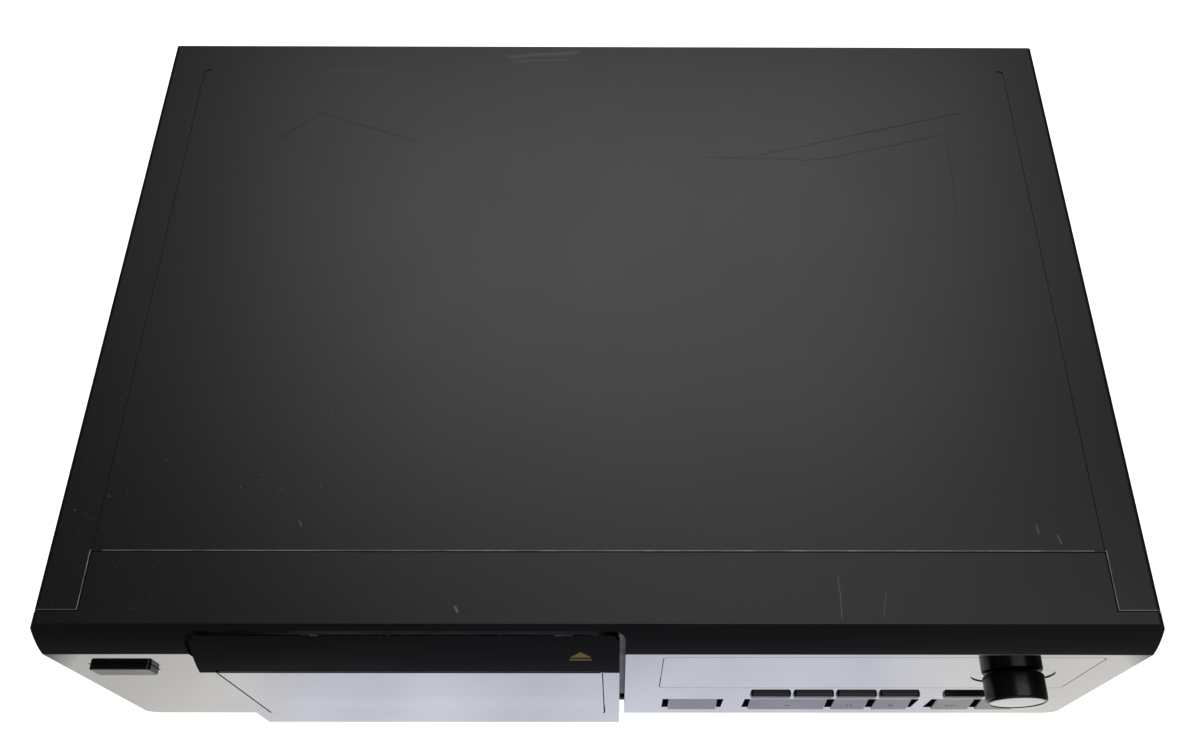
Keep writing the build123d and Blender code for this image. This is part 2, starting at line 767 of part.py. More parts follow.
with BuildPart() as front_door:
    inside = -door_proud + door_wall
    with BuildSketch(side_plane(door_left)) as skin:
        with BuildLine():
            door_section(
                [
                    (door_top_back, door_top - door_wall),
                    (door_top_back - 1.5, door_top - door_wall),
                    (inside, door_band_low),
                    (inside, door_low + door_wall),
                    (inside + 2, door_low + door_wall),
                    (inside + 2, door_low),
                ]
            )
        make_face()
        fillet(skin.vertices().sort_by_distance((-door_proud, door_band_low))[0], band_bend_radius)
    extrude(amount=door_right - door_left)
    for x in (door_left, door_right - door_wall):
        with BuildSketch(side_plane(x)) as cheek:
            with BuildLine():
                door_section([(door_top_back, door_low + 8), (0, door_low)])
            make_face()
            fillet(cheek.vertices().sort_by_distance((-door_proud, door_band_low))[0], band_bend_radius)
        extrude(amount=door_wall)
    with BuildSketch(front_plane(-door_proud - 1)) as door_face:
        with Locations((door_middle, (door_low + door_top) / 2)):
            Rectangle(door_right - door_left, door_top - door_low)
        fillet(door_face.vertices().group_by(Axis.Y)[-1], door_corner_radius - 1)
        fillet(door_face.vertices().group_by(Axis.Y)[0], 0.8)
    extrude(amount=-20, mode=Mode.INTERSECT)
    # hinge bosses at both ends
    boss_spans = (
        (door_left, door_left + hinge_boss_length),
        (door_right - hinge_boss_length, door_right),
    )
    for span in boss_spans:
        rod_x(span, hinge_y, hinge_z, hinge_boss_radius)
        block(span, (inside - 1, hinge_y), (hinge_z - 2.5, hinge_z + 2.5))
    # stepped opening for the window
    with BuildSketch(front_plane(-door_proud - 1)):
        with Locations((door_middle, (window_low + window_top) / 2)):
            RectangleRounded(window_right - window_left, window_top - window_low, 1.5)
    extrude(amount=-(1 + window_thickness - window_proud), mode=Mode.SUBTRACT)
    block(
        (window_left + window_ledge, window_right - window_ledge),
        (-door_proud - 1, 2),
        (window_low + window_ledge, window_top - window_ledge),
        Mode.SUBTRACT,
    )
    # toothed sector that turns the damper gear
    sector_start = damper_angle - door_travel - 4
    with BuildSketch(side_plane(sector_left)) as sector:
        with BuildLine():
            outline = gear_points(door_sector_teeth, damper_module, damper_angle)
            Polyline(*shifted(outline, hinge_y, hinge_z), close=True)
        make_face()
        with BuildSketch(mode=Mode.PRIVATE) as kept:
            with BuildLine():
                reach = 3 * sector_radius
                corners_at = [sector_start, (sector_start + damper_angle) / 2, damper_angle + 4]
                rays = [(reach * cos(radians(a)), reach * sin(radians(a))) for a in corners_at]
                Polyline(*shifted([(0, 0)] + rays, hinge_y, hinge_z), close=True)
            make_face()
        add(kept.sketch, mode=Mode.INTERSECT)
    extrude(amount=sector_thickness)
    # striker for the catch
    block(
        striker_x,
        (inside + 1, striker_reach),
        (striker_z + 2, striker_z + striker_height),
    )
    block(
        striker_x,
        (striker_reach - 3, striker_reach),
        (striker_z, striker_z + striker_height),
    )
    # hinge pins moulded on both ends
    rod_x((recess_left - fascia_wall, door_left + 1), hinge_y, hinge_z, hinge_pin_radius)
    rod_x((door_right - 1, recess_right + fascia_wall), hinge_y, hinge_z, hinge_pin_radius)
finish("front_door", front_door)

with BuildPart() as door_window:
    with BuildSketch(front_plane(-door_proud - window_proud)):
        with Locations((door_middle, (window_low + window_top) / 2)):
            RectangleRounded(
                window_right - window_left - 2 * seam,
                window_top - window_low - 2 * seam,
                1.5,
            )
    extrude(amount=-(window_thickness - 0.05))
    top_front = door_window.edges().filter_by(Axis.X).sort_by(Axis.Z)[-2:].sort_by(Axis.Y)[0]
    fillet(top_front, 1.2)
finish("door_window", door_window)

# ================================================================ door damper
damper_distance = damper_module * (door_sector_teeth + damper_teeth) / 2
damper_y = hinge_y + damper_distance * cos(radians(damper_angle))
damper_z = hinge_z + damper_distance * sin(radians(damper_angle))
damper_case = (sector_left - 1 - damper_case_length, sector_left - 1)
with BuildPart() as damper_gear:
    gear_disc(
        side_plane(sector_left),
        damper_teeth,
        damper_module,
        damper_angle + 180 + 180 / damper_teeth,
        (damper_y, damper_z),
        sector_thickness,
    )
    rod_x((damper_case[0] + 2, sector_left + 0.5), damper_y, damper_z, 1.5)
finish("damper_gear", damper_gear)

with BuildPart() as door_damper:
    rod_x(damper_case, damper_y, damper_z, damper_case_radius)
    block(
        damper_case,
        (recess_depth + recess_wall, damper_y),
        (damper_z - damper_case_radius, damper_z + damper_case_radius),
    )
    bore_x = (damper_case[0] + 1.5, damper_case[1] + 1)
    rod_x(bore_x, damper_y, damper_z, 1.5 + running_gap, Mode.SUBTRACT)
finish("door_damper", door_damper)

# ================================================================ door catch
catch_cavity_z = (striker_z - 1.5, striker_z + striker_height + 1.5)
catch_front = recess_depth + recess_wall
with BuildPart() as door_catch:
    block(
        (striker_slot[0] - catch_wall, striker_slot[1] + catch_wall),
        (catch_front, striker_reach + 8),
        (catch_cavity_z[0] - catch_wall, catch_cavity_z[1] + catch_wall),
    )
    block(striker_slot, (catch_front - 1, striker_reach + 1.5), catch_cavity_z, Mode.SUBTRACT)
finish("door_catch", door_catch)

# ================================================================ display board, switches
board_back = board_y + board_thickness
switch_face = board_y - switch_depth
with BuildPart() as display_board:
    block((board_left, board_right), (board_y, board_back), (board_low, board_top))
    for x, z in boss_places:
        rod_y_axis(x, (board_y - 1, board_back + 1), z, 1.1, Mode.SUBTRACT)
finish("display_board", display_board)

small_key_middle = small_key_top - small_key_height / 2
large_key_low = large_row_low + large_key_margin
large_key_high = large_row_high - large_key_margin
large_key_middle = (large_key_low + large_key_high) / 2
key_centres = [(left + small_key_width / 2, small_key_middle) for left in small_key_lefts.values()]
key_centres += [(sum(span) / 2, large_key_middle) for span in large_key_spans.values()]
with BuildPart() as key_switches:
    for x, z in key_centres:
        half = switch_size / 2
        block((x - half, x + half), (switch_face, board_y), (z - half, z + half))
        rod_y_axis(x, (switch_face - plunger_length, switch_face), z, plunger_radius)
finish("key_switches", key_switches)
stem_end = switch_face - plunger_length - key_travel - contact_gap

# ================================================================ small keys, upper row
flange_y = fascia_wall + key_flange_gap
for name, left in small_key_lefts.items():
    with BuildPart() as small_key:
        right = left + small_key_width
        low = small_key_top - small_key_height
        with BuildSketch(front_plane(-small_key_proud)):
            with Locations(((left + right) / 2, small_key_middle)):
                RectangleRounded(small_key_width, small_key_height, 1.2)
        extrude(amount=-(small_key_proud + flange_y))
        fillet(small_key.edges().group_by(Axis.Y)[0], 0.5)
        block(
            (left + 1, right - 1),
            (flange_y, flange_y + key_flange_depth),
            (low - 1.2, small_key_top + 1.2),
        )
        rod_y_axis((left + right) / 2, (flange_y, stem_end), small_key_middle, stem_radius)
    finish(name, small_key)

# ================================================================ large keys, lower row
for name, (left, right) in large_key_spans.items():
    with BuildPart() as large_key:
        with BuildSketch(side_plane(left)):
            with BuildLine():
                Polyline(
                    (-large_key_proud, large_key_low),
                    (large_key_sunk, large_key_high),
                    (flange_y + key_flange_depth, large_key_high),
                    (flange_y + key_flange_depth, large_key_low),
                    close=True,
                )
            make_face()
        extrude(amount=right - left)
        fillet(large_key.faces().sort_by(Axis.Y)[0].edges(), 0.5)
        block(
            (left + 1, right - 1),
            (flange_y, flange_y + key_flange_depth),
            (large_row_low - 1.2, large_row_high + 1.2),
        )
        rod_y_axis((left + right) / 2, (flange_y, stem_end), large_key_middle, stem_radius)
    finish(name, large_key)

# ================================================================ power key and its switch
power_stem_end = power_switch_y - 3 - power_travel - contact_gap
with BuildPart() as power_key:
    power_low = power_top - power_height
    with BuildSketch(front_plane(-power_proud)):
        with Locations((power_middle, power_z)):
            RectangleRounded(power_width, power_height, 1.5)
    extrude(amount=-(power_proud + flange_y))
    fillet(power_key.edges().group_by(Axis.Y)[0], 0.6)
    block(
        (power_left - 1.2, power_right + 1.2),
        (flange_y, flange_y + key_flange_depth),
        (power_low + 1, power_top - 1),
    )
    rod_y_axis(power_middle, (flange_y, power_stem_end), power_z, 2.5)
finish("power_key", power_key)

with BuildPart() as power_switch:
    half_x, half_z = power_switch_size[0] / 2, power_switch_size[2] / 2
    block(
        (power_middle - half_x, power_middle + half_x),
        (power_switch_y, power_switch_y + power_switch_size[1]),
        (power_z - half_z, power_z + half_z),
    )
    rod_y_axis(power_middle, (power_switch_y - 3, power_switch_y), power_z, 2.0)
    for x in (power_middle - 5, power_middle + 5):
        block(
            (x - 0.5, x + 0.5),
            (power_switch_y + power_switch_size[1], power_switch_y + power_switch_size[1] + 5),
            (power_z - 3, power_z + 3),
        )
finish("power_switch", power_switch)

# ================================================================ display window and tube
with BuildPart() as display_window:
    with BuildSketch(front_plane(0)):
        with Locations(((display_left + display_right) / 2, (display_low + display_top) / 2)):
            RectangleRounded(
                display_right - display_left,
                display_top - display_low,
                display_corner_radius,
            )
    extrude(amount=-(display_thickness - 0.05))
    rod_y_axis(dial_x, (-1, display_thickness + 1), dial_z, dial_hole_radius, Mode.SUBTRACT)
finish("display_window", display_window)

with BuildPart() as display_tube:
    block(
        (sight_left + 2, sight_right - 2),
        (board_y - tube_depth, board_y),
        (sight_low + 2, sight_top - 2),
    )
    block(
        (sight_left + 4, sight_right - 4),
        (board_y - tube_depth - 1, board_y - tube_depth),
        (sight_low + 4, sight_top - 4),
    )
    rod_y_axis(sight_right - 1.0, (board_y - 4, board_y - 2), sight_top - 6, 1.5)
finish("display_tube", display_tube)

# ================================================================ dial, bezel, encoder
bezel_back = fascia_wall + bezel_rim - 1
with BuildPart() as dial_bezel:
    rod_y_axis(dial_x, (bezel_sink, bezel_back), dial_z, dial_hole_radius - 0.15)
    rod_y_axis(dial_x, (fascia_wall + 0.02, bezel_back), dial_z, dial_hole_radius + bezel_rim)
    rod_y_axis(dial_x, (0, bezel_back + 1), dial_z, encoder_neck_radius + 0.5, Mode.SUBTRACT)
finish("dial_bezel", dial_bezel)

with BuildPart() as dial_encoder:
    half = encoder_size / 2
    block(
        (dial_x - half, dial_x + half),
        (board_y - encoder_depth, board_y),
        (dial_z - half, dial_z + half),
    )
    neck_front = bezel_sink + dial_lift + 0.6
    rod_y_axis(dial_x, (neck_front, board_y - encoder_depth), dial_z, encoder_neck_radius)
    rod_y_axis(
        dial_x,
        (neck_front - 1, board_y - 2),
        dial_z,
        encoder_shaft_radius + running_gap,
        Mode.SUBTRACT,
    )
finish("dial_encoder", dial_encoder)

with BuildPart() as encoder_shaft:
    rod_y_axis(dial_x, (-dial_reach + 3, board_y - 2.3), dial_z, encoder_shaft_radius)
    block(
        (dial_x - 3, dial_x + 3),
        (-dial_reach + 2, 0),
        (dial_z + 2, dial_z + 4),
        Mode.SUBTRACT,
    )
finish("encoder_shaft", encoder_shaft)

dial_back = bezel_sink - dial_lift
with BuildPart() as dial_knob:
    rod_y_axis(dial_x, (-dial_reach, dial_back), dial_z, dial_radius)
    fillet(dial_knob.edges().group_by(Axis.Y)[0], 1.6)
    fillet(dial_knob.edges().group_by(Axis.Y)[-1], 0.5)
    rod_y_axis(dial_x, (-dial_reach - 1, -dial_reach + 0.3), dial_z, dial_radius - 3, Mode.SUBTRACT)
    rod_y_axis(dial_x, (-dial_reach + 3, dial_back + 1), dial_z, encoder_shaft_radius, Mode.SUBTRACT)
    rod_y_axis(dial_x, (-2, dial_back + 1), dial_z, dial_radius - 1.8, Mode.SUBTRACT)
    rod_y_axis(dial_x, (-2, dial_back), dial_z, encoder_shaft_radius + 1.6)
    rod_y_axis(dial_x, (-3, dial_back + 1), dial_z, encoder_shaft_radius, Mode.SUBTRACT)
finish("dial_knob", dial_knob)

# ================================================================ mechanism deck
deck_top = floor_z + deck_thickness
deck_front = hinge_y + sector_radius + 7
rim_radius = rim_module * rim_teeth / 2
gear_low = deck_top + carousel_lift
gear_top = gear_low + rim_gear_height
plate_top = gear_top + carousel_plate
drive_distance = rim_radius + rim_module * drive_teeth / 2
drive_x = carousel_x + drive_distance * cos(radians(drive_angle))
drive_y = carousel_y + drive_distance * sin(radians(drive_angle))
pulley_low = gear_top + 1.5
pulley_top = pulley_low + pulley_height
motor_x = drive_x + motor_offset_x
motor_y = drive_y + motor_offset_y
shelf_low = pulley_top + 1.5
shelf_top = shelf_low + motor_bracket_gauge
axle_top = deck_top + axle_height
deck_half = chassis_half - chassis_gauge - 0.5

with BuildPart() as mechanism_deck:
    block((-deck_half, deck_half), (deck_front, chassis_rear - chassis_gauge - 0.5), (floor_z, deck_top))
    rod_z(carousel_x, carousel_y, (deck_top, gear_low - 0.4), hub_radius)
    rod_z(carousel_x, carousel_y, (floor_z, gear_low), axle_radius, Mode.SUBTRACT)
    rod_z(drive_x, drive_y, (deck_top, gear_low - 0.3), 4.5)
    rod_z(drive_x, drive_y, (floor_z, gear_low), drive_axle_radius, Mode.SUBTRACT)
    # bracket that holds the carousel's motor over its pulley
    bracket_y = (motor_y - motor_radius - 1, motor_y + motor_radius + 1)
    block((motor_x - 8, motor_x + motor_radius + 4), bracket_y, (shelf_low, shelf_top))
    block((motor_x + motor_radius + 2, motor_x + motor_radius + 4), bracket_y, (deck_top, shelf_top))
    rod_z(motor_x, motor_y, (shelf_low - 1, shelf_top + 1), 3.0, Mode.SUBTRACT)
    # ribs round the open part of the deck, outside the carousel
    block((-deck_half, -deck_half + 2), (deck_front, deck_front + 30), (deck_top, deck_top + 8))
    block((60, 160), (chassis_rear - 14, chassis_rear - 12), (deck_top, deck_top + 4))
finish("mechanism_deck", mechanism_deck)

with BuildPart() as carousel_axles:
    rod_z(carousel_x, carousel_y, (floor_z, axle_top), axle_radius)
    rod_z(drive_x, drive_y, (floor_z, pulley_top + 1), drive_axle_radius)
finish("carousel_axles", carousel_axles)

# ================================================================ carousel
with BuildPart() as carousel:
    gear_disc(
        Plane.XY.offset(gear_low),
        rim_teeth,
        rim_module,
        drive_angle,
        (carousel_x, carousel_y),
        rim_gear_height,
    )
    rod_z(carousel_x, carousel_y, (gear_low, gear_top), rim_gear_bore, Mode.SUBTRACT)
    rod_z(carousel_x, carousel_y, (gear_top, plate_top), carousel_radius)
    rod_z(carousel_x, carousel_y, (gear_low, gear_top), hub_radius)
    rod_z(carousel_x, carousel_y, (plate_top, axle_top - 2), hub_radius - 4)
    rod_z(
        carousel_x,
        carousel_y,
        (gear_low - 1, axle_top),
        axle_radius + running_gap,
        Mode.SUBTRACT,
    )
finish("carousel", carousel)

slot_pitch = 360 / slot_count
first_slot = -90.0  # one slot faces the door
with BuildPart() as disc_dividers:
    inner_half = (2 * pi * divider_inner_radius / slot_count - slot_width) / 2
    outer_half = (2 * pi * carousel_radius / slot_count - slot_width) / 2
    with BuildSketch(Plane.XY.offset(plate_top)):
        with Locations((carousel_x, carousel_y)):
            with PolarLocations(0, slot_count, start_angle=first_slot + slot_pitch / 2):
                Polygon(
                    (divider_inner_radius, -inner_half),
                    (carousel_radius - 0.5, -outer_half),
                    (carousel_radius - 0.5, outer_half),
                    (divider_inner_radius, inner_half),
                    align=None,
                )
    extrude(amount=divider_height)
finish("disc_dividers", disc_dividers)

with BuildPart() as drive_gear:
    gear_disc(
        Plane.XY.offset(gear_low),
        drive_teeth,
        rim_module,
        drive_angle + 180 + 180 / drive_teeth,
        (drive_x, drive_y),
        rim_gear_height,
    )
    rod_z(drive_x, drive_y, (gear_top, pulley_low), drive_pulley_radius - 1.5)
    rod_z(drive_x, drive_y, (pulley_low, pulley_top), drive_pulley_radius)
    groove_z = (pulley_low + 1.5, pulley_top - 1.5)
    with BuildSketch(Plane.XY.offset(groove_z[0])):
        with Locations((drive_x, drive_y)):
            Circle(drive_pulley_radius + 1)
            Circle(drive_pulley_radius - belt_groove, mode=Mode.SUBTRACT)
    extrude(amount=groove_z[1] - groove_z[0], mode=Mode.SUBTRACT)
    rod_z(
        drive_x,
        drive_y,
        (gear_low - 1, pulley_top + 1),
        drive_axle_radius + running_gap,
        Mode.SUBTRACT,
    )
finish("drive_gear", drive_gear)

with BuildPart() as motor_pulley:
    rod_z(motor_x, motor_y, (pulley_low, pulley_top), motor_pulley_radius)
    with BuildSketch(Plane.XY.offset(groove_z[0])):
        with Locations((motor_x, motor_y)):
            Circle(motor_pulley_radius + 1)
            Circle(motor_pulley_radius - belt_groove, mode=Mode.SUBTRACT)
    extrude(amount=groove_z[1] - groove_z[0], mode=Mode.SUBTRACT)
    rod_z(motor_x, motor_y, (pulley_top, shelf_top + 3), motor_shaft_radius)
finish("motor_pulley", motor_pulley)

# belt in the grooves of both pulleys, clear of them by belt_clearance
belt_clearance = 0.15
belt_z = (groove_z[0] + 0.4, groove_z[1] - 0.4)
belt_inner = (
    drive_pulley_radius - belt_groove + belt_clearance,
    motor_pulley_radius - belt_groove + belt_clearance,
)


def belt_loop(extra):
    """The belt's outline, grown by extra: the hull of one circle on each pulley."""
    with Locations((drive_x, drive_y)):
        Circle(belt_inner[0] + extra)
    with Locations((motor_x, motor_y)):
        Circle(belt_inner[1] + extra)
    make_hull()


with BuildPart() as carousel_belt:
    with BuildSketch(Plane.XY.offset(belt_z[0])):
        belt_loop(belt_thickness)
        with BuildSketch(mode=Mode.PRIVATE) as belt_inside:
            belt_loop(0)
        add(belt_inside.sketch, mode=Mode.SUBTRACT)
    extrude(amount=belt_z[1] - belt_z[0])
finish("carousel_belt", carousel_belt)

# ================================================================ player frame
disc_z = disc_floor + disc_radius
plate_y = (player_plate_y, player_plate_y + player_plate)
sled_low = disc_z - 10
sled_high = disc_z + 10
sled_left = sled_right - sled_width
rod_zs = (disc_z - rod_half_spacing, disc_z + rod_half_spacing)
lug_y = (rod_y - 3, player_plate_y)
motor_face = rod_y - 6.0
feed_pitch_radius = rack_module * feed_teeth / 2
rod_left = player_left
lens_x = sled_right - sled_width / 2
rack_top = disc_z - rod_half_spacing - 3.5
rack_line = rack_top - 4.0
feed_gear_z = rack_line - feed_pitch_radius
feed_gear_y = (motor_face + 3.5, motor_face + 7.5)
loading_distance = loading_module * (arm_teeth + loading_teeth) / 2
loading_x = arm_pivot_x + loading_distance
arm_y = (plate_y[1] + 1.0, plate_y[1] + 4.0)
clamp_lug_zs = (disc_z - 24, disc_z + 24)

with BuildPart() as player_frame:
    block((player_left, player_right), plate_y, (deck_top, player_top))
    block((player_left, player_right), (plate_y[0] - 10, plate_y[0]), (deck_top, deck_top + 2))
    # window for the pickup's lens
    block(
        (lens_x - sled_travel - lens_radius - 1, lens_x + lens_radius + 1),
        (plate_y[0] - 1, plate_y[1] + 1),
        (disc_z - lens_radius - 2, disc_z + lens_radius + 2),
        Mode.SUBTRACT,
    )
    rod_y_axis(spindle_x, (plate_y[0] - 1, plate_y[1] + 1), disc_z, 5.0, Mode.SUBTRACT)
    # lugs for the guide rods
    for x in (rod_left, rod_right - lug_width):
        for z in rod_zs:
            block((x, x + lug_width), lug_y, (z - 3, z + 3))
    for z in rod_zs:
        rod_x((rod_left - 1, rod_right + 1), rod_y, z, rod_radius, Mode.SUBTRACT)
    # shelf for the feed motor
    shelf_z = (feed_gear_z - 6, feed_gear_z + 5)
    for x in (feed_gear_x - 13, feed_gear_x + 11):
        block((x, x + 2), (motor_face, plate_y[0]), shelf_z)
    block((feed_gear_x - 13, feed_gear_x + 13), (motor_face, motor_face + 1.5), shelf_z)
    rod_y_axis(feed_gear_x, (motor_face - 1, motor_face + 2), feed_gear_z, 2.5, Mode.SUBTRACT)
    # post that the loading arm turns on, and the loading motor's hole
    rod_y_axis(arm_pivot_x, (plate_y[1], arm_y[1] + 1), arm_pivot_z, 2.0)
    rod_y_axis(loading_x, (plate_y[0] - 1, plate_y[1] + 1), arm_pivot_z, 2.5, Mode.SUBTRACT)
    # wall at the right with lugs for the clamp arm's pivot
    block(
        (clamp_wall_x, clamp_wall_x + 2.5),
        (plate_y[1], clamp_pivot_y + 4),
        (disc_z - 30, disc_z + 30),
    )
    for z in clamp_lug_zs:
        block(
            (clamp_wall_x - 9, clamp_wall_x),
            (clamp_pivot_y - 4, clamp_pivot_y + 4),
            (z - 1.5, z + 1.5),
        )
        rod_z(
            clamp_wall_x - 5,
            clamp_pivot_y,
            (z - 2, z + 2),
            rod_radius + running_gap,
            Mode.SUBTRACT,
        )
finish("player_frame", player_frame)

with BuildPart() as guide_rods:
    for z in rod_zs:
        rod_x((rod_left, rod_right), rod_y, z, rod_radius)
finish("guide_rods", guide_rods)

# ================================================================ turntable
turntable_back = carousel_y - 0.8
turntable_front = turntable_back - turntable_rim
with BuildPart() as spindle_motor:
    rod_y_axis(
        spindle_x,
        (plate_y[0] - spindle_motor_length, plate_y[0]),
        disc_z,
        spindle_motor_radius,
    )
    rod_y_axis(spindle_x, (plate_y[0], plate_y[0] + 2), disc_z, 4.0)
    rod_y_axis(
        spindle_x,
        (plate_y[0] - 8, plate_y[0] + 3),
        disc_z,
        spindle_shaft_radius + running_gap,
        Mode.SUBTRACT,
    )
finish("spindle_motor", spindle_motor)

with BuildPart() as turntable:
    rod_y_axis(spindle_x, (turntable_front, turntable_back), disc_z, turntable_radius)
    rod_y_axis(spindle_x, (turntable_back, turntable_back + centring_height), disc_z, centring_radius)
    chamfer(turntable.edges().group_by(Axis.Y)[-1], 1.5)
    rod_y_axis(spindle_x, (turntable_front - 5, turntable_front), disc_z, 4.0)
    rod_y_axis(spindle_x, (plate_y[0] - 7, turntable_front), disc_z, spindle_shaft_radius)
finish("turntable", turntable)

# ================================================================ pickup sled
with BuildPart() as pickup_sled:
    sled_top = disc_z + rod_half_spacing + 3.5
    block((sled_left, sled_right), (rod_y - 3.5, rod_y + 4), (rack_top - 0.5, sled_top))
    for z in rod_zs:
        rod_x((sled_left - 1, sled_right + 1), rod_y, z, rod_radius + running_gap, Mode.SUBTRACT)
    # lens barrel through the frame's window
    lens_end = turntable_back - 4
    rod_y_axis(lens_x, (rod_y + 4, lens_end), disc_z, lens_radius)
    rod_y_axis(lens_x, (lens_end - 1, lens_end + 1), disc_z, 2.5, Mode.SUBTRACT)
    # rack under the sled, its teeth pointing down
    tooth_pitch = pi * rack_module
    tip_z = rack_line - addendum_ratio * rack_module
    root_z = rack_line + dedendum_ratio * rack_module
    slope = sin(pressure_angle) / cos(pressure_angle)
    half_tooth = tooth_pitch / 4 - backlash / 4
    rack_start = feed_gear_x - tooth_pitch / 2
    reach_right = feed_gear_x + sled_travel + 1.5 * tooth_pitch
    tooth_count = int((reach_right - rack_start) / tooth_pitch) + 3
    rack_end = rack_start - 1.5 * tooth_pitch
    outline = [(rack_end, rack_top), (rack_end, root_z)]
    for tooth in range(-1, tooth_count - 1):
        middle = rack_start + tooth * tooth_pitch
        for side in (-1, 1):
            near = (middle + side * (half_tooth - slope * addendum_ratio * rack_module), tip_z)
            far = (middle + side * (half_tooth + slope * dedendum_ratio * rack_module), root_z)
            outline += [far, near] if side < 0 else [near, far]
    rack_end = outline[-1][0] + 1
    outline += [(rack_end, root_z), (rack_end, rack_top)]
    with BuildSketch(front_plane(feed_gear_y[0] - 0.5)):
        with BuildLine():
            Polyline(*outline, close=True)
        make_face()
    extrude(amount=-(feed_gear_y[1] - feed_gear_y[0] + 1))
finish("pickup_sled", pickup_sled)

with BuildPart() as feed_gear:
    gear_disc(
        front_plane(feed_gear_y[0]),
        feed_teeth,
        rack_module,
        90,
        (feed_gear_x, feed_gear_z),
        -(feed_gear_y[1] - feed_gear_y[0]),
    )
    rod_y_axis(feed_gear_x, (motor_face - 4, feed_gear_y[0]), feed_gear_z, motor_shaft_radius)
finish("feed_gear", feed_gear)

# ================================================================ loading arm and its gear
with BuildPart() as loading_arm:
    gear_disc(
        front_plane(arm_y[0]),
        arm_teeth,
        loading_module,
        0,
        (arm_pivot_x, arm_pivot_z),
        -(arm_y[1] - arm_y[0]),
    )
    block(
        (arm_pivot_x - arm_width / 2, arm_pivot_x + arm_width / 2),
        arm_y,
        (arm_pivot_z, arm_pivot_z + arm_length),
    )
    rod_y_axis(arm_pivot_x, arm_y, arm_pivot_z + arm_length, arm_width / 2)
    rod_y_axis(arm_pivot_x, (arm_y[1], carousel_y + 3), arm_pivot_z + arm_length, 2.5)
    rod_y_axis(
        arm_pivot_x,
        (arm_y[0] - 1, arm_y[1] + 1),
        arm_pivot_z,
        2.0 + running_gap,
        Mode.SUBTRACT,
    )
finish("loading_arm", loading_arm)

with BuildPart() as loading_gear:
    gear_disc(
        front_plane(arm_y[0]),
        loading_teeth,
        loading_module,
        180 + 180 / loading_teeth,
        (loading_x, arm_pivot_z),
        -(arm_y[1] - arm_y[0]),
    )
    rod_y_axis(loading_x, (plate_y[0] - 4, arm_y[0]), arm_pivot_z, motor_shaft_radius)
finish("loading_gear", loading_gear)

# ================================================================ small motors, all alike
with BuildPart() as small_motors:
    rod_z(motor_x, motor_y, (shelf_top, shelf_top + motor_length), motor_radius)
    rod_z(motor_x, motor_y, (shelf_top - 1, shelf_top + 4), motor_shaft_radius + running_gap, Mode.SUBTRACT)
    for x, z, face in (
        (feed_gear_x, feed_gear_z, motor_face),
        (loading_x, arm_pivot_z, plate_y[0]),
    ):
        rod_y_axis(x, (face - motor_length, face), z, motor_radius)
        rod_y_axis(x, (face - 5, face + 1), z, motor_shaft_radius + running_gap, Mode.SUBTRACT)
finish("small_motors", small_motors)

# ================================================================ clamp arm and puck
puck_front = turntable_back + centring_height + 0.5
puck_back = puck_front + puck_thickness
clamp_y = (puck_back + 0.5, puck_back + 3.0)
clamp_pivot_x = clamp_wall_x - 5
with BuildPart() as clamp_arm:
    block((spindle_x - 9, clamp_pivot_x - 3), clamp_y, (disc_z - 9, disc_z + 9))
    block(
        (clamp_pivot_x - 8, clamp_pivot_x + 2),
        (clamp_y[0], clamp_pivot_y + 2.5),
        (disc_z - 20, disc_z + 20),
    )
    rod_z(
        clamp_pivot_x,
        clamp_pivot_y,
        (clamp_lug_zs[0] - 1.5, clamp_lug_zs[1] + 1.5),
        rod_radius,
    )
    rod_y_axis(spindle_x, (clamp_y[0] - 1, clamp_y[1] + 1), disc_z, puck_stub_radius + running_gap, Mode.SUBTRACT)
finish("clamp_arm", clamp_arm)

with BuildPart() as clamp_puck:
    rod_y_axis(spindle_x, (puck_front, puck_back), disc_z, puck_radius)
    rod_y_axis(spindle_x, (puck_back, clamp_y[1] + 1), disc_z, puck_stub_radius)
    rod_y_axis(spindle_x, (clamp_y[1] + 0.5, clamp_y[1] + 2), disc_z, puck_stub_radius + 1.5)
finish("clamp_puck", clamp_puck)

# ================================================================ main board, capacitors
board_z = (floor_z + board_lift, floor_z + board_lift + board_thickness)
main_board_rear = rear_inner - 14
main_board_y = (main_board_front, main_board_rear)
with BuildPart() as main_board:
    block((main_board_left, main_board_right), main_board_y, board_z)
    for x in (main_board_left + 6, main_board_right - 6):
        for y in (main_board_front + 6, main_board_rear - 6):
            rod_z(x, y, (deck_top, board_z[0]), 3.0)
    for x, y, width in board_parts:
        block((x - width / 2, x + width / 2), (y - 7, y + 7), (board_z[1], board_z[1] + 2.5))
finish("main_board", main_board)

with BuildPart() as board_capacitors:
    for x, y, radius, height in capacitors:
        rod_z(x, y, (board_z[1], board_z[1] + height), radius)
finish("board_capacitors", board_capacitors)

# ================================================================ transformer
core_z = (deck_top, deck_top + core_size[2])
with BuildPart() as transformer_core:
    block(
        (transformer_x - core_size[0] / 2, transformer_x + core_size[0] / 2),
        (transformer_y - core_size[1] / 2, transformer_y + core_size[1] / 2),
        core_z,
    )
    for side in (-1, 1):
        window = sorted((transformer_x + side * 8.0, transformer_x + side * 16.0))
        block(
            window,
            (transformer_y - core_size[1], transformer_y + core_size[1]),
            (core_z[0] + 8, core_z[1] - 8),
            Mode.SUBTRACT,
        )
    block(
        (transformer_x - core_size[0] / 2 - 4, transformer_x + core_size[0] / 2 + 4),
        (transformer_y - 8, transformer_y + 8),
        (core_z[0], core_z[0] + 2),
    )
finish("transformer_core", transformer_core)

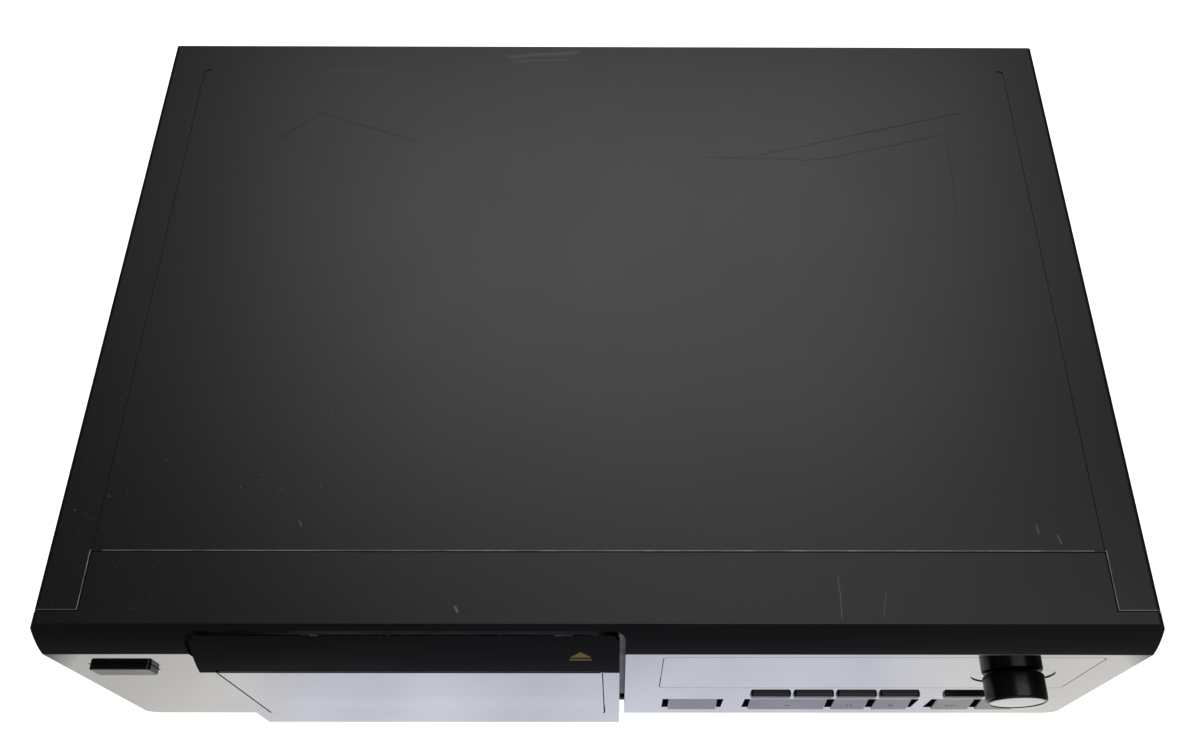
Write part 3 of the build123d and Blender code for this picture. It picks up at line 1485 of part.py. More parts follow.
with BuildPart() as transformer_winding:
    block(
        (transformer_x - winding_size[0] / 2, transformer_x + winding_size[0] / 2),
        (transformer_y - winding_size[1] / 2, transformer_y + winding_size[1] / 2),
        (core_z[0] + 8.5, core_z[1] - 8.5),
    )
    fillet(transformer_winding.edges().filter_by(Axis.Z), 4)
    block(
        (transformer_x - 8.2, transformer_x + 8.2),
        (transformer_y - core_size[1] / 2 - 0.2, transformer_y + core_size[1] / 2 + 0.2),
        (core_z[0], core_z[1]),
        Mode.SUBTRACT,
    )
    for side in (-1, 1):
        leg = sorted((transformer_x + side * 15.8, transformer_x + side * 30))
        block(
            leg,
            (transformer_y - core_size[1] / 2 - 0.2, transformer_y + core_size[1] / 2 + 0.2),
            (core_z[0], core_z[1]),
            Mode.SUBTRACT,
        )
finish("transformer_winding", transformer_winding)

# ================================================================ sockets in the rear panel
socket_end = body_depth + socket_reach
with BuildPart() as phono_sockets:
    block(
        (phono_x[0] - 8, phono_x[1] + 8),
        (rear_inner - 14, rear_inner),
        (phono_z - 8, phono_z + 8),
    )
    for x in phono_x:
        rod_y_axis(x, (rear_inner - 1, socket_end), phono_z, phono_radius)
        rod_y_axis(x, (socket_end - phono_bore_depth, socket_end + 1), phono_z, phono_bore, Mode.SUBTRACT)
finish("phono_sockets", phono_sockets)

with BuildPart() as optical_socket:
    half = optical_size / 2
    block(
        (optical_x - half - 1.5, optical_x + half + 1.5),
        (rear_inner - 12, rear_inner),
        (phono_z - half - 1.5, phono_z + half + 1.5),
    )
    block(
        (optical_x - half, optical_x + half),
        (rear_inner, rear_face + 1.5),
        (phono_z - half, phono_z + half),
    )
    block(
        (optical_x - half + 1.8, optical_x + half - 1.8),
        (rear_face - 7, rear_face + 2),
        (phono_z - half + 1.8, phono_z + half - 1.8),
        Mode.SUBTRACT,
    )
finish("optical_socket", optical_socket)

with BuildPart() as control_sockets:
    block(
        (control_x[0] - 6, control_x[1] + 6),
        (rear_inner - 12, rear_inner),
        (phono_z - 6, phono_z + 6),
    )
    for x in control_x:
        rod_y_axis(x, (rear_inner - 1, rear_face + 2.5), phono_z, control_radius)
        rod_y_axis(x, (rear_face - 10, rear_face + 3), phono_z, control_bore, Mode.SUBTRACT)
finish("control_sockets", control_sockets)

# ================================================================ gland for the mains lead
with BuildPart() as cord_gland:
    rod_y_axis(gland_x, (rear_face, rear_face + 5), gland_z, gland_flange_radius)
    fillet(cord_gland.edges().group_by(Axis.Y)[-1], 1.5)
    rod_y_axis(gland_x, (rear_inner - 3, rear_face), gland_z, gland_radius)
    rod_y_axis(gland_x, (rear_inner - 4, rear_face + 6), gland_z, gland_bore, Mode.SUBTRACT)
finish("cord_gland", cord_gland)

# ================================================================ written pieces
os.makedirs("parts", exist_ok=True)
for piece in pieces:
    export_step(piece.moved(to_origin), f"parts/{piece.label}.step")
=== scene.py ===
import json
import math

import bpy
from mathutils import Matrix, Vector

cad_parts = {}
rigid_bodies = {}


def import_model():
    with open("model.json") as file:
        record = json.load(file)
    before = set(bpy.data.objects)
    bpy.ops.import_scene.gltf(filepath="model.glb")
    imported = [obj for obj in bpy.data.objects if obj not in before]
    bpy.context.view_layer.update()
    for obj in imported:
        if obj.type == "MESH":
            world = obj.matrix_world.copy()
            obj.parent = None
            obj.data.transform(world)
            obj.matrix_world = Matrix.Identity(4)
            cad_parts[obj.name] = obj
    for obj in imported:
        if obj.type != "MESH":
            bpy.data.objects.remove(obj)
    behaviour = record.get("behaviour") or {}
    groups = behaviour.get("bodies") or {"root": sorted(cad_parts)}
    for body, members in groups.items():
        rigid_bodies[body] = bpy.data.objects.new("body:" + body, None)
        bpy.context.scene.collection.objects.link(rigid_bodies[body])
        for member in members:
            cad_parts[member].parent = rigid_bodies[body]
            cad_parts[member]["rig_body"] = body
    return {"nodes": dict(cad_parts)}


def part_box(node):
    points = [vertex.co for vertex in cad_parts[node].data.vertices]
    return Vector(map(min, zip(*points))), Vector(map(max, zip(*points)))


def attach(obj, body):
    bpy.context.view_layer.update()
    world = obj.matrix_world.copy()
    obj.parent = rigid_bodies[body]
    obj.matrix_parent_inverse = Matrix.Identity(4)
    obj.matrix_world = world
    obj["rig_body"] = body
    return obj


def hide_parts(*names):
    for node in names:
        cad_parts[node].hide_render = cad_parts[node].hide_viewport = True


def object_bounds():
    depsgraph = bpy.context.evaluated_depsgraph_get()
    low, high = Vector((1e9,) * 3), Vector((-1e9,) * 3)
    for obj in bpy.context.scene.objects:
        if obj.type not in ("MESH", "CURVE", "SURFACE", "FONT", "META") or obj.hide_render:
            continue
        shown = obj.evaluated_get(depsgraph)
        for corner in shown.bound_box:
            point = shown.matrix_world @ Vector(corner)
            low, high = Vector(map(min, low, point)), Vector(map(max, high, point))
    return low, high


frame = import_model()
cad_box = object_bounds()

bl_info = {
    "name": "Disc changer",
    "version": (1, 0, 0),
    "blender": (4, 5, 0),
    "location": "View3D > Sidebar > Disc changer",
    "description": "Finishes the pieces of a disc changer and sets its studio",
    "category": "Object",
}

MM = 0.001
NODES = frame["nodes"]
FACE_Y = cad_box[0][1] + 0.011  # the fascia's upright face, 11 mm behind the front of the dial
LOWER_Z = 0.008  # the fascia's lower edge, which the feet lift off the floor
LARGE_KEY_HEIGHT = 0.012  # the keys of the lower row are taller than this
KEY_NODES = [name for name in NODES if name.endswith("_key") and name != "power_key"]


# ---------------------------------------------------------------- settings
class ChangerFinishes(bpy.types.PropertyGroup):
    """Colours and surfaces of the changer."""

    cover_colour: bpy.props.StringProperty(
        name="Cover", description="Enamel of the sheet steel cover, sRGB hex", default="#0E0E0F"
    )
    gloss_colour: bpy.props.StringProperty(
        name="Front", description="Polished plastic of the front and door, sRGB hex", default="#0A0A0B"
    )
    key_colour: bpy.props.StringProperty(
        name="Keys", description="Satin plastic of the keys, sRGB hex", default="#29292C"
    )
    mark_colour: bpy.props.StringProperty(
        name="Door mark", description="Ink of the mark on the door, sRGB hex", default="#B89F60"
    )
    cover_roughness: bpy.props.FloatProperty(
        name="Cover roughness", description="Roughness of the cover's enamel", default=0.36, min=0.1,
        max=1.0, subtype="FACTOR",
    )


class ChangerSizes(bpy.types.PropertyGroup):
    """Sizes of the small details that are added to the pieces."""

    ink_height: bpy.props.FloatProperty(
        name="Ink", description="Height of printed marks", default=0.00005, precision=5, unit="LENGTH"
    )
    mark_size: bpy.props.FloatProperty(
        name="Door mark", description="Width of the mark on the door", default=0.0085, unit="LENGTH"
    )
    key_symbol: bpy.props.FloatProperty(
        name="Key symbol", description="Height of a key's symbol", default=0.0022, unit="LENGTH"
    )


class ChangerStudio(bpy.types.PropertyGroup):
    """Light, floor and camera."""

    key_power: bpy.props.FloatProperty(
        name="Key lamp", description="Power of the large lamp above the front", default=5.0, unit="POWER"
    )
    sheen_power: bpy.props.FloatProperty(
        name="Sheen lamp", description="Power of the lamp above the rear", default=8.8, unit="POWER"
    )
    fill: bpy.props.FloatProperty(
        name="Fill", description="Strength of the soft light from all round", default=0.14, min=0.0
    )
    sheet_margin: bpy.props.FloatProperty(
        name="Sheet margin", description="How far the pale sheet reaches past the object", default=0.05,
        unit="LENGTH",
    )
    lens: bpy.props.FloatProperty(
        name="Lens", description="Focal length of the camera in millimetres", default=35.795
    )


# ---------------------------------------------------------------- colour and nodes
def linear(colour):
    """An sRGB hex colour, such as "#242426", as linear red, green, blue and alpha."""
    values = []
    for start in (1, 3, 5):
        part = int(colour[start : start + 2], 16) / 255
        values.append(part / 12.92 if part <= 0.04045 else ((part + 0.055) / 1.055) ** 2.4)
    return (*values, 1.0)


def add_node(tree, kind, inputs=None, **settings):
    """Adds a shader node. An input that is a node or an output is linked, any other is set."""
    node = tree.nodes.new("ShaderNode" + kind)
    for name, value in settings.items():
        setattr(node, name, value)
    for name, value in (inputs or {}).items():
        if isinstance(value, bpy.types.Node):
            value = value.outputs[0]
        if isinstance(value, bpy.types.NodeSocket):
            tree.links.new(value, node.inputs[name])
        else:
            node.inputs[name].default_value = value
    return node


def bare_material(name, colour):
    """A material with an empty tree, and the tree's Object coordinates, which are in metres."""
    material = bpy.data.materials.new(name)
    material.use_nodes = True
    material.diffuse_color = linear(colour)
    tree = material.node_tree
    tree.nodes.clear()
    return material, tree, add_node(tree, "TexCoord").outputs["Object"]


def drift(tree, where, size_mm, low, high, detail=3.0):
    """A value that wanders between low and high in soft blobs about size_mm across."""
    blobs = add_node(tree, "TexNoise", {"Vector": where, "Scale": 1000 / size_mm, "Detail": detail})
    ends = {"Value": blobs, "From Min": 0.32, "From Max": 0.68, "To Min": low, "To Max": high}
    return add_node(tree, "MapRange", ends)


def grain(tree, where, size_mm, depth_mm, strength=0.6):
    """The relief of a grained or sprayed surface, as a normal."""
    bumps = add_node(tree, "TexNoise", {"Vector": where, "Scale": 1000 / size_mm, "Detail": 2.0})
    return add_node(tree, "Bump", {"Height": bumps, "Distance": depth_mm * MM, "Strength": strength})


# ---------------------------------------------------------------- finishes
def moulded_plastic(name, colour, lighter, roughness, grain_mm=0.5, depth_mm=0.01, **more):
    """Thermoplastic from an etched tool: fine even grain, and a gloss that drifts with the flow."""
    material, tree, where = bare_material(name, colour)
    flow = drift(tree, where, 14.0, 0.0, 1.0)
    tone = add_node(tree, "Mix", {0: flow, 6: linear(colour), 7: linear(lighter)}, data_type="RGBA")
    inputs = {
        "Base Color": tone.outputs[2],
        "Roughness": drift(tree, where, 11.0, roughness * 0.9, min(1.0, roughness * 1.12)),
        "Normal": grain(tree, where, grain_mm, depth_mm),
    }
    inputs.update({key.replace("_", " "): value for key, value in more.items()})
    shader = add_node(tree, "BsdfPrincipled", inputs)
    add_node(tree, "OutputMaterial", {"Surface": shader})
    return material


def polished_plastic(name, colour, coat=1.0, **more):
    """Plastic from a polished tool: a mirror at a flat angle, with long shallow waves."""
    material, tree, where = bare_material(name, colour)
    inputs = {
        "Base Color": linear(colour),
        "Roughness": drift(tree, where, 18.0, 0.025, 0.07, 4.0),
        "IOR": 1.5,
        "Coat Weight": coat,
        "Coat Roughness": 0.02,
        "Normal": grain(tree, where, 75.0, 0.14, 0.5),
    }
    inputs.update({key.replace("_", " "): value for key, value in more.items()})
    shader = add_node(tree, "BsdfPrincipled", inputs)
    add_node(tree, "OutputMaterial", {"Surface": shader})
    return material


def grained_metal(name, colour, roughness, along=(1, 1, 1), grain_mm=0.5, depth_mm=0.004):
    """Drawn, ground or plated metal, whose grain is stretched along one direction."""
    material, tree, where = bare_material(name, colour)
    stretched = add_node(tree, "Mapping", {"Vector": where, "Scale": along})
    inputs = {
        "Base Color": linear(colour),
        "Metallic": 1.0,
        "Roughness": drift(tree, stretched, grain_mm * 3, roughness * 0.8, roughness * 1.25),
        "Normal": grain(tree, stretched, grain_mm, depth_mm),
    }
    shader = add_node(tree, "BsdfPrincipled", inputs)
    add_node(tree, "OutputMaterial", {"Surface": shader})
    return material


def zinc_plate(name):
    """Zinc plated sheet: grey, with a soft mottle of crystals about 6 mm across."""
    material, tree, where = bare_material(name, "#8E9092")
    crystals = add_node(tree, "TexVoronoi", {"Vector": where, "Scale": 1000 / 6.0})
    shade = add_node(tree, "SeparateColor", {"Color": crystals.outputs["Color"]})
    tone = add_node(
        tree, "Mix", {0: shade, 6: linear("#84868A"), 7: linear("#9A9C9F")}, data_type="RGBA"
    )
    inputs = {
        "Base Color": tone.outputs[2],
        "Metallic": 1.0,
        "Roughness": drift(tree, where, 9.0, 0.36, 0.52),
        "Normal": grain(tree, where, 0.8, 0.004),
    }
    shader = add_node(tree, "BsdfPrincipled", inputs)
    add_node(tree, "OutputMaterial", {"Surface": shader})
    return material


def moulded_rubber(name, colour="#171717"):
    """Moulded rubber: dead matte, with a dusty bloom."""
    material, tree, where = bare_material(name, colour)
    bloom = drift(tree, where, 6.0, 0.0, 1.0)
    tone = add_node(tree, "Mix", {0: bloom, 6: linear(colour), 7: linear("#292928")}, data_type="RGBA")
    inputs = {"Base Color": tone.outputs[2], "Roughness": 0.85, "Normal": grain(tree, where, 0.4, 0.02)}
    shader = add_node(tree, "BsdfPrincipled", inputs)
    add_node(tree, "OutputMaterial", {"Surface": shader})
    return material


def circuit_board(name):
    """Phenolic board: brown, with lighter tracks 1.2 mm wide under the lacquer and tinned pads."""
    material, tree, where = bare_material(name, "#5B4522")
    upright = add_node(tree, "Mapping", {"Vector": where, "Scale": (1000 / 9, 1000 / 9, 1000 / 9)})
    tracks = add_node(
        tree,
        "TexWave",
        {"Vector": upright, "Scale": 0.9, "Distortion": 5.0, "Detail": 0.0, "Detail Scale": 0.6},
    )
    lines = add_node(tree, "MapRange", {"Value": tracks, "From Min": 0.55, "From Max": 0.6})
    brown = add_node(
        tree, "Mix", {0: lines, 6: linear("#5B4522"), 7: linear("#7A5E2C")}, data_type="RGBA"
    )
    cells = add_node(tree, "TexVoronoi", {"Vector": where, "Scale": 1000 / 5.0})
    pads = add_node(tree, "MapRange", {"Value": cells, "From Min": 0.14, "From Max": 0.16, "To Min": 1.0, "To Max": 0.0})
    tone = add_node(
        tree, "Mix", {0: pads, 6: brown.outputs[2], 7: linear("#B9B9B4")}, data_type="RGBA"
    )
    inputs = {
        "Base Color": tone.outputs[2],
        "Metallic": add_node(tree, "Math", {0: pads, 1: 0.9}, operation="MULTIPLY"),
        "Roughness": 0.38,
        "Normal": add_node(tree, "Bump", {"Height": lines, "Distance": 0.00004, "Strength": 0.5}),
    }
    shader = add_node(tree, "BsdfPrincipled", inputs)
    add_node(tree, "OutputMaterial", {"Surface": shader})
    return material


def smoked_acrylic(name):
    """Smoked acrylic sheet: polished, dark, and clear enough to hint at what is behind it."""
    material, tree, where = bare_material(name, "#3A3A3E")
    inputs = {
        "Base Color": linear("#55555B"),
        "Roughness": drift(tree, where, 25.0, 0.01, 0.035),
        "IOR": 1.49,
        "Transmission Weight": 1.0,
        "Coat Weight": 1.0,
        "Coat Roughness": 0.01,
        "Normal": grain(tree, where, 48.0, 0.16, 0.6),
    }
    shader = add_node(tree, "BsdfPrincipled", inputs)
    add_node(tree, "OutputMaterial", {"Surface": shader})
    return material


# Scratches and rubbed places on the cover and on the flange in front of it: both ends in
# millimetres from the middle of the object, width in millimetres, and how much lighter than the
# finish they are, or darker where below 0
MARKS = [
    ((172.5, 106.0), (122.7, 93.3), 0.5, -0.55),
    ((122.7, 93.3), (74.1, 80.9), 0.45, -0.4),
    ((162.4, 92.8), (102.3, 78.1), 0.45, -0.45),
    ((102.3, 78.1), (45.7, 79.6), 0.4, -0.3),
    ((-155.3, 88.9), (-137.0, 105.1), 0.5, -0.45),
    ((-137.0, 105.1), (-90.7, 89.1), 0.45, -0.35),
    ((163.7, 88.1), (162.6, 48.6), 0.4, -0.3),
    ((64.5, 18.2), (107.0, -57.6), 0.25, 0.05),
    ((-137.0, 131.0), (-109.4, 131.8), 0.35, 0.14),
    ((92.5, -118.0), (92.5, -133.8), 0.3, 0.42),
    ((110.3, -124.1), (108.5, -133.1), 0.25, 0.3),
    ((-54.5, -129.4), (-53.4, -131.2), 0.7, 0.6),
    ((-118.6, -96.0), (-117.4, -98.4), 0.6, 0.3),
    ((172.3, -98.0), (172.8, -101.0), 0.5, 0.4),
    ((180.0, -101.5), (180.8, -104.5), 0.5, 0.4),
    ((-48.0, 140.6), (-13.5, 143.2), 1.6, 0.16),
    ((-44.0, 137.4), (-18.0, 138.6), 1.1, 0.12),
]


def scratches(tree, where, marks):
    """Masks of the lighter and the darker marks, from the distance to each mark's wavering line."""
    waver = add_node(tree, "TexNoise", {"Vector": where, "Scale": 1000 / 9.0, "Detail": 2.0})
    shaken = add_node(
        tree,
        "VectorMath",
        {0: waver.outputs["Color"], 1: (0.0016, 0.0016, 0.0), 2: where},
        operation="MULTIPLY_ADD",
    )
    flat = add_node(tree, "VectorMath", {0: shaken, 1: (1.0, 1.0, 0.0)}, operation="MULTIPLY")
    masks = {True: None, False: None}
    for start, end, width, tone in marks:
        first = Vector((start[0] * MM + 0.0008, start[1] * MM + 0.0008, 0.0))
        run = Vector(((end[0] - start[0]) * MM, (end[1] - start[1]) * MM, 0.0))
        offset = add_node(tree, "VectorMath", {0: flat, 1: first}, operation="SUBTRACT")
        share = add_node(
            tree, "VectorMath", {0: offset, 1: run / run.length_squared}, operation="DOT_PRODUCT"
        )
        held = add_node(tree, "Clamp", {"Value": share.outputs["Value"]})
        foot = add_node(tree, "VectorMath", {0: run, "Scale": held}, operation="SCALE")
        away = add_node(tree, "VectorMath", {0: offset, 1: foot}, operation="DISTANCE").outputs["Value"]
        ends = {"From Min": width * MM * 0.15, "From Max": width * MM, "To Min": abs(tone), "To Max": 0.0}
        mask = add_node(tree, "MapRange", {"Value": away, **ends})
        if masks[tone > 0]:
            mask = add_node(tree, "Math", {0: masks[tone > 0], 1: mask}, operation="MAXIMUM")
        masks[tone > 0] = mask
    return masks[True], masks[False]


def dust(tree, where, size_mm, share, radius):
    """Mask of round specks: share of the cells that are size_mm across hold one."""
    cells = add_node(tree, "TexVoronoi", {"Vector": where, "Scale": 1000 / size_mm})
    speck = add_node(
        tree,
        "MapRange",
        {"Value": cells, "From Min": radius * 0.5, "From Max": radius, "To Min": 1.0, "To Max": 0.0},
    )
    pick = add_node(tree, "SeparateColor", {"Color": cells.outputs["Color"]})
    chosen = add_node(tree, "Math", {0: pick, 1: share}, operation="LESS_THAN")
    return add_node(tree, "Math", {0: speck, 1: chosen}, operation="MULTIPLY")


def worn_finish(name, colour, cloudy, roughness, grain_mm, depth_mm):
    """A satin black surface after years of use: faintly cloudy, scratched and dusty."""
    material, tree, where = bare_material(name, colour)
    cloud = drift(tree, where, 55.0, 0.0, 1.0, 4.0)
    tone = add_node(tree, "Mix", {0: cloud, 6: linear(colour), 7: linear(cloudy)}, data_type="RGBA")
    lighter, darker = scratches(tree, where, MARKS)
    # dust has gathered towards the front left corner
    corner = add_node(tree, "VectorMath", {0: where, 1: (-0.19, -0.12, 0.15)}, operation="DISTANCE")
    ends = {"From Min": 0.03, "From Max": 0.17, "To Min": 0.34, "To Max": 0.05}
    near = add_node(tree, "MapRange", {"Value": corner.outputs["Value"], **ends})
    few = add_node(tree, "Math", {0: dust(tree, where, 4.0, 0.10, 0.13), 1: near}, operation="MULTIPLY")
    fine = add_node(tree, "Math", {0: dust(tree, where, 1.6, 0.16, 0.24), 1: near}, operation="MULTIPLY")
    fine = add_node(tree, "Math", {0: fine, 1: 0.45}, operation="MULTIPLY")
    specks = add_node(tree, "Math", {0: few, 1: fine}, operation="MAXIMUM")
    pale = add_node(tree, "Math", {0: lighter, 1: specks}, operation="MAXIMUM")
    tone = add_node(tree, "Mix", {0: pale, 6: tone.outputs[2], 7: linear("#8C8B88")}, data_type="RGBA")
    tone = add_node(tree, "Mix", {0: darker, 6: tone.outputs[2], 7: linear("#070708")}, data_type="RGBA")
    even = drift(tree, where, 60.0, roughness - 0.012, roughness + 0.012)
    rubbed = add_node(tree, "Math", {0: darker, 1: 0.3, 2: even}, operation="MULTIPLY_ADD")
    inputs = {
        "Base Color": tone.outputs[2],
        "Roughness": rubbed,
        "Normal": grain(tree, where, grain_mm, depth_mm, 0.5),
    }
    shader = add_node(tree, "BsdfPrincipled", inputs)
    add_node(tree, "OutputMaterial", {"Surface": shader})
    return material


def worn_edge(name, colour):
    """The cover's cut and folded edges: enamel worn down to the steel, and made paler still as a painted
    highlight along each edge.
    """
    material, tree, where = bare_material(name, colour)
    # this mix of dark enamel and pale steel is partly wear and partly a painted highlight along the edge
    rubbed = drift(tree, where, 7.0, 0.25, 0.9, 5.0)
    tone = add_node(tree, "Mix", {0: rubbed, 6: linear("#4C4C4F"), 7: linear("#A9ABB0")}, data_type="RGBA")
    inputs = {
        "Base Color": tone.outputs[2],
        "Metallic": rubbed,
        "Roughness": 0.34,
        "Normal": grain(tree, where, 0.6, 0.004),
    }
    shader = add_node(tree, "BsdfPrincipled", inputs)
    add_node(tree, "OutputMaterial", {"Surface": shader})
    return material


# ---------------------------------------------------------------- pieces
def deselect():
    """Nothing selected and object mode."""
    if bpy.context.object and bpy.context.object.mode != "OBJECT":
        bpy.ops.object.mode_set(mode="OBJECT")
    bpy.ops.object.select_all(action="DESELECT")


def select_only(piece):
    """piece selected and active, nothing else."""
    deselect()
    piece.select_set(True)
    bpy.context.view_layer.objects.active = piece


def settle(piece, name, body, material):
    """Names a finished piece, puts its place in its mesh, gives it its finish and its body."""
    select_only(piece)
    bpy.ops.object.transform_apply(location=True, rotation=True, scale=True)
    piece.name = name
    piece.data.name = name
    if material:
        piece.data.materials.clear()
        piece.data.materials.append(material)
    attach(piece, body)
    return piece


def paint(nodes, material):
    """Gives CAD nodes a finish."""
    for node in nodes:
        data = NODES[node].data
        data.materials.clear()
        data.materials.append(material)


def merged_copy(node, name, materials, faces=None, edges=None, width_mm=0.3, worn=-1):
    """A copy of a CAD node, merged, with its flat faces kept flat, which stands for the node.

    faces(centre, normal) gives the place in materials of a face's finish. edges(first, second)
    says whether the edge between two points is rounded by width_mm, and "sharp" rounds every
    sharp one. worn is the finish of the rounded edges. Points are in millimetres from the
    fascia's face and lower edge.
    """
    source = NODES[node]
    mesh = source.data.copy()
    piece = bpy.data.objects.new(name, mesh)
    bpy.context.scene.collection.objects.link(piece)
    select_only(piece)
    bpy.ops.object.mode_set(mode="EDIT")
    bpy.ops.mesh.select_all(action="SELECT")
    bpy.ops.mesh.remove_doubles(threshold=0.000004)
    bpy.ops.object.mode_set(mode="OBJECT")
    if mesh.has_custom_normals:
        bpy.ops.mesh.customdata_custom_splitnormals_clear()
    mesh.materials.clear()
    for material in materials:
        mesh.materials.append(material)
    if faces:
        for face in mesh.polygons:
            face.material_index = faces(drawn(face.center), face.normal)
    if edges:
        round_edges(piece, edges, width_mm, worn)
    bpy.ops.object.shade_smooth_by_angle(angle=math.radians(32))
    weigh = piece.modifiers.new("flat faces first", "WEIGHTED_NORMAL")
    weigh.mode = "FACE_AREA"
    weigh.weight = 100
    weigh.keep_sharp = True
    bpy.ops.object.modifier_apply(modifier=weigh.name)
    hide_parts(node)
    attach(piece, source["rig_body"])
    return piece


def drawn(point):
    """A point in metres as millimetres from the middle, the fascia's face and its lower edge."""
    return Vector((point.x / MM, (point.y - FACE_Y) / MM, (point.z - LOWER_Z) / MM))


def undrawn(point):
    """The point in metres of one that is drawn in millimetres, as drawn() gives it."""
    return Vector((point[0] * MM, point[1] * MM + FACE_Y, point[2] * MM + LOWER_Z))


def round_edges(piece, edges, width_mm, worn):
    """Rounds the edges that edges(first, second) picks, or all sharp ones."""
    mesh = piece.data
    bevel = piece.modifiers.new("edge", "BEVEL")
    bevel.width = width_mm * MM
    bevel.segments = 2
    bevel.material = worn
    if edges == "sharp":
        bevel.limit_method = "ANGLE"
        bevel.angle_limit = math.radians(40)
    else:
        bevel.limit_method = "WEIGHT"
        weights = mesh.attributes.new("bevel_weight_edge", "FLOAT", "EDGE")
        for edge in mesh.edges:
            first, second = (drawn(mesh.vertices[v].co) for v in edge.vertices)
            weights.data[edge.index].value = 1.0 if edges(first, second) else 0.0
    bpy.ops.object.modifier_apply(modifier=bevel.name)


def outline_piece(name, points, thickness, matrix, body, material):
    """A flat mark: a closed outline in millimetres, raised by thickness and put in place by matrix."""
    deselect()
    bpy.ops.mesh.primitive_circle_add(vertices=len(points), radius=0.01, fill_type="NGON")
    piece = bpy.context.object
    for vertex, (x, y) in zip(piece.data.vertices, points):
        vertex.co = Vector((x * MM, y * MM, 0.0))
    bpy.ops.object.mode_set(mode="EDIT")
    bpy.ops.mesh.select_all(action="SELECT")
    bpy.ops.mesh.extrude_region_move(TRANSFORM_OT_translate={"value": (0, 0, thickness)})
    bpy.ops.mesh.select_all(action="SELECT")
    bpy.ops.mesh.normals_make_consistent(inside=False)
    bpy.ops.object.mode_set(mode="OBJECT")
    piece.matrix_world = matrix
    return settle(piece, name, body, material)


def join(pieces):
    """Joins the pieces into the first one."""
    deselect()
    for piece in pieces:
        piece.select_set(True)
    bpy.context.view_layer.objects.active = pieces[0]
    bpy.ops.object.join()
    return pieces[0]


def facing(centre, normal, upward):
    """Matrix whose third axis is normal and whose second lies towards upward."""
    z = Vector(normal).normalized()
    x = Vector(upward).cross(z).normalized()
    y = z.cross(x)
    turn = Matrix((x, y, z)).transposed().to_4x4()
    turn.translation = Vector(centre)
    return turn


def seat_on(piece, x, z, lift):
    """Matrix of a place on the front of piece, x and z in millimetres, lifted off it in metres."""
    bpy.context.view_layer.update()
    hit, place, normal, face = piece.ray_cast(undrawn((x, -50.0, z)), (0.0, 1.0, 0.0))
    if not hit:
        raise RuntimeError(f"{piece.name} has no front at {x}, {z}")
    return facing(place + normal * lift, normal, (0, 0, 1))


def spun(name, profile, centre, axis, steps=96):
    """A turned solid. profile gives (distance along axis, radius) in millimetres, end to end."""
    deselect()
    bpy.ops.mesh.primitive_circle_add(vertices=len(profile), radius=0.001, fill_type="NOTHING")
    piece = bpy.context.object
    for vertex, (along, radius) in zip(piece.data.vertices, profile):
        vertex.co = Vector((radius * MM, 0.0, along * MM))
    bpy.ops.object.mode_set(mode="EDIT")
    bpy.ops.mesh.select_all(action="SELECT")
    bpy.ops.mesh.spin(steps=steps, angle=2 * math.pi, center=(0, 0, 0), axis=(0, 0, 1))
    bpy.ops.mesh.select_all(action="SELECT")
    bpy.ops.mesh.remove_doubles(threshold=0.000002)
    bpy.ops.mesh.delete_loose()
    bpy.ops.mesh.select_all(action="SELECT")
    bpy.ops.mesh.normals_make_consistent(inside=False)
    bpy.ops.object.mode_set(mode="OBJECT")
    bpy.ops.object.shade_smooth_by_angle(angle=math.radians(35))
    piece.name = name
    up = (0, 0, 1) if abs(Vector(axis).normalized().z) < 0.9 else (0, 1, 0)
    piece.matrix_world = facing(centre, axis, up)
    return piece


def copy_of(piece, name, matrix):
    """A copy with its own mesh, moved by matrix."""
    twin = bpy.data.objects.new(name, piece.data.copy())
    bpy.context.scene.collection.objects.link(twin)
    twin.matrix_world = matrix @ piece.matrix_world
    return twin


def screw_with_cross(name, profile, slot_depth):
    """A screw along +Z with a cross recess in its head, modelled at the origin."""
    screw = spun(name, profile, (0, 0, 0), (0, 0, 1), 40)
    top = max(along for along, radius in profile) * MM
    for turn in (0.0, math.pi / 2):
        deselect()
        bpy.ops.mesh.primitive_cube_add(size=1.0, location=(0, 0, 0))
        blade = bpy.context.object
        for vertex in blade.data.vertices:
            low = vertex.co.z < 0
            long, wide = (0.9, 0.45) if low else (1.75, 0.62)
            x = math.copysign(long * MM, vertex.co.x)
            y = math.copysign(wide * MM / 2, vertex.co.y)
            vertex.co = Vector((x, y, top - slot_depth * MM if low else top + 0.0006))
            vertex.co = Matrix.Rotation(turn, 3, "Z") @ vertex.co
        cut = screw.modifiers.new("recess", "BOOLEAN")
        cut.operation = "DIFFERENCE"
        cut.solver = "EXACT"
        cut.object = blade
        select_only(screw)
        bpy.ops.object.modifier_apply(modifier=cut.name)
        bpy.data.objects.remove(blade)
    return screw


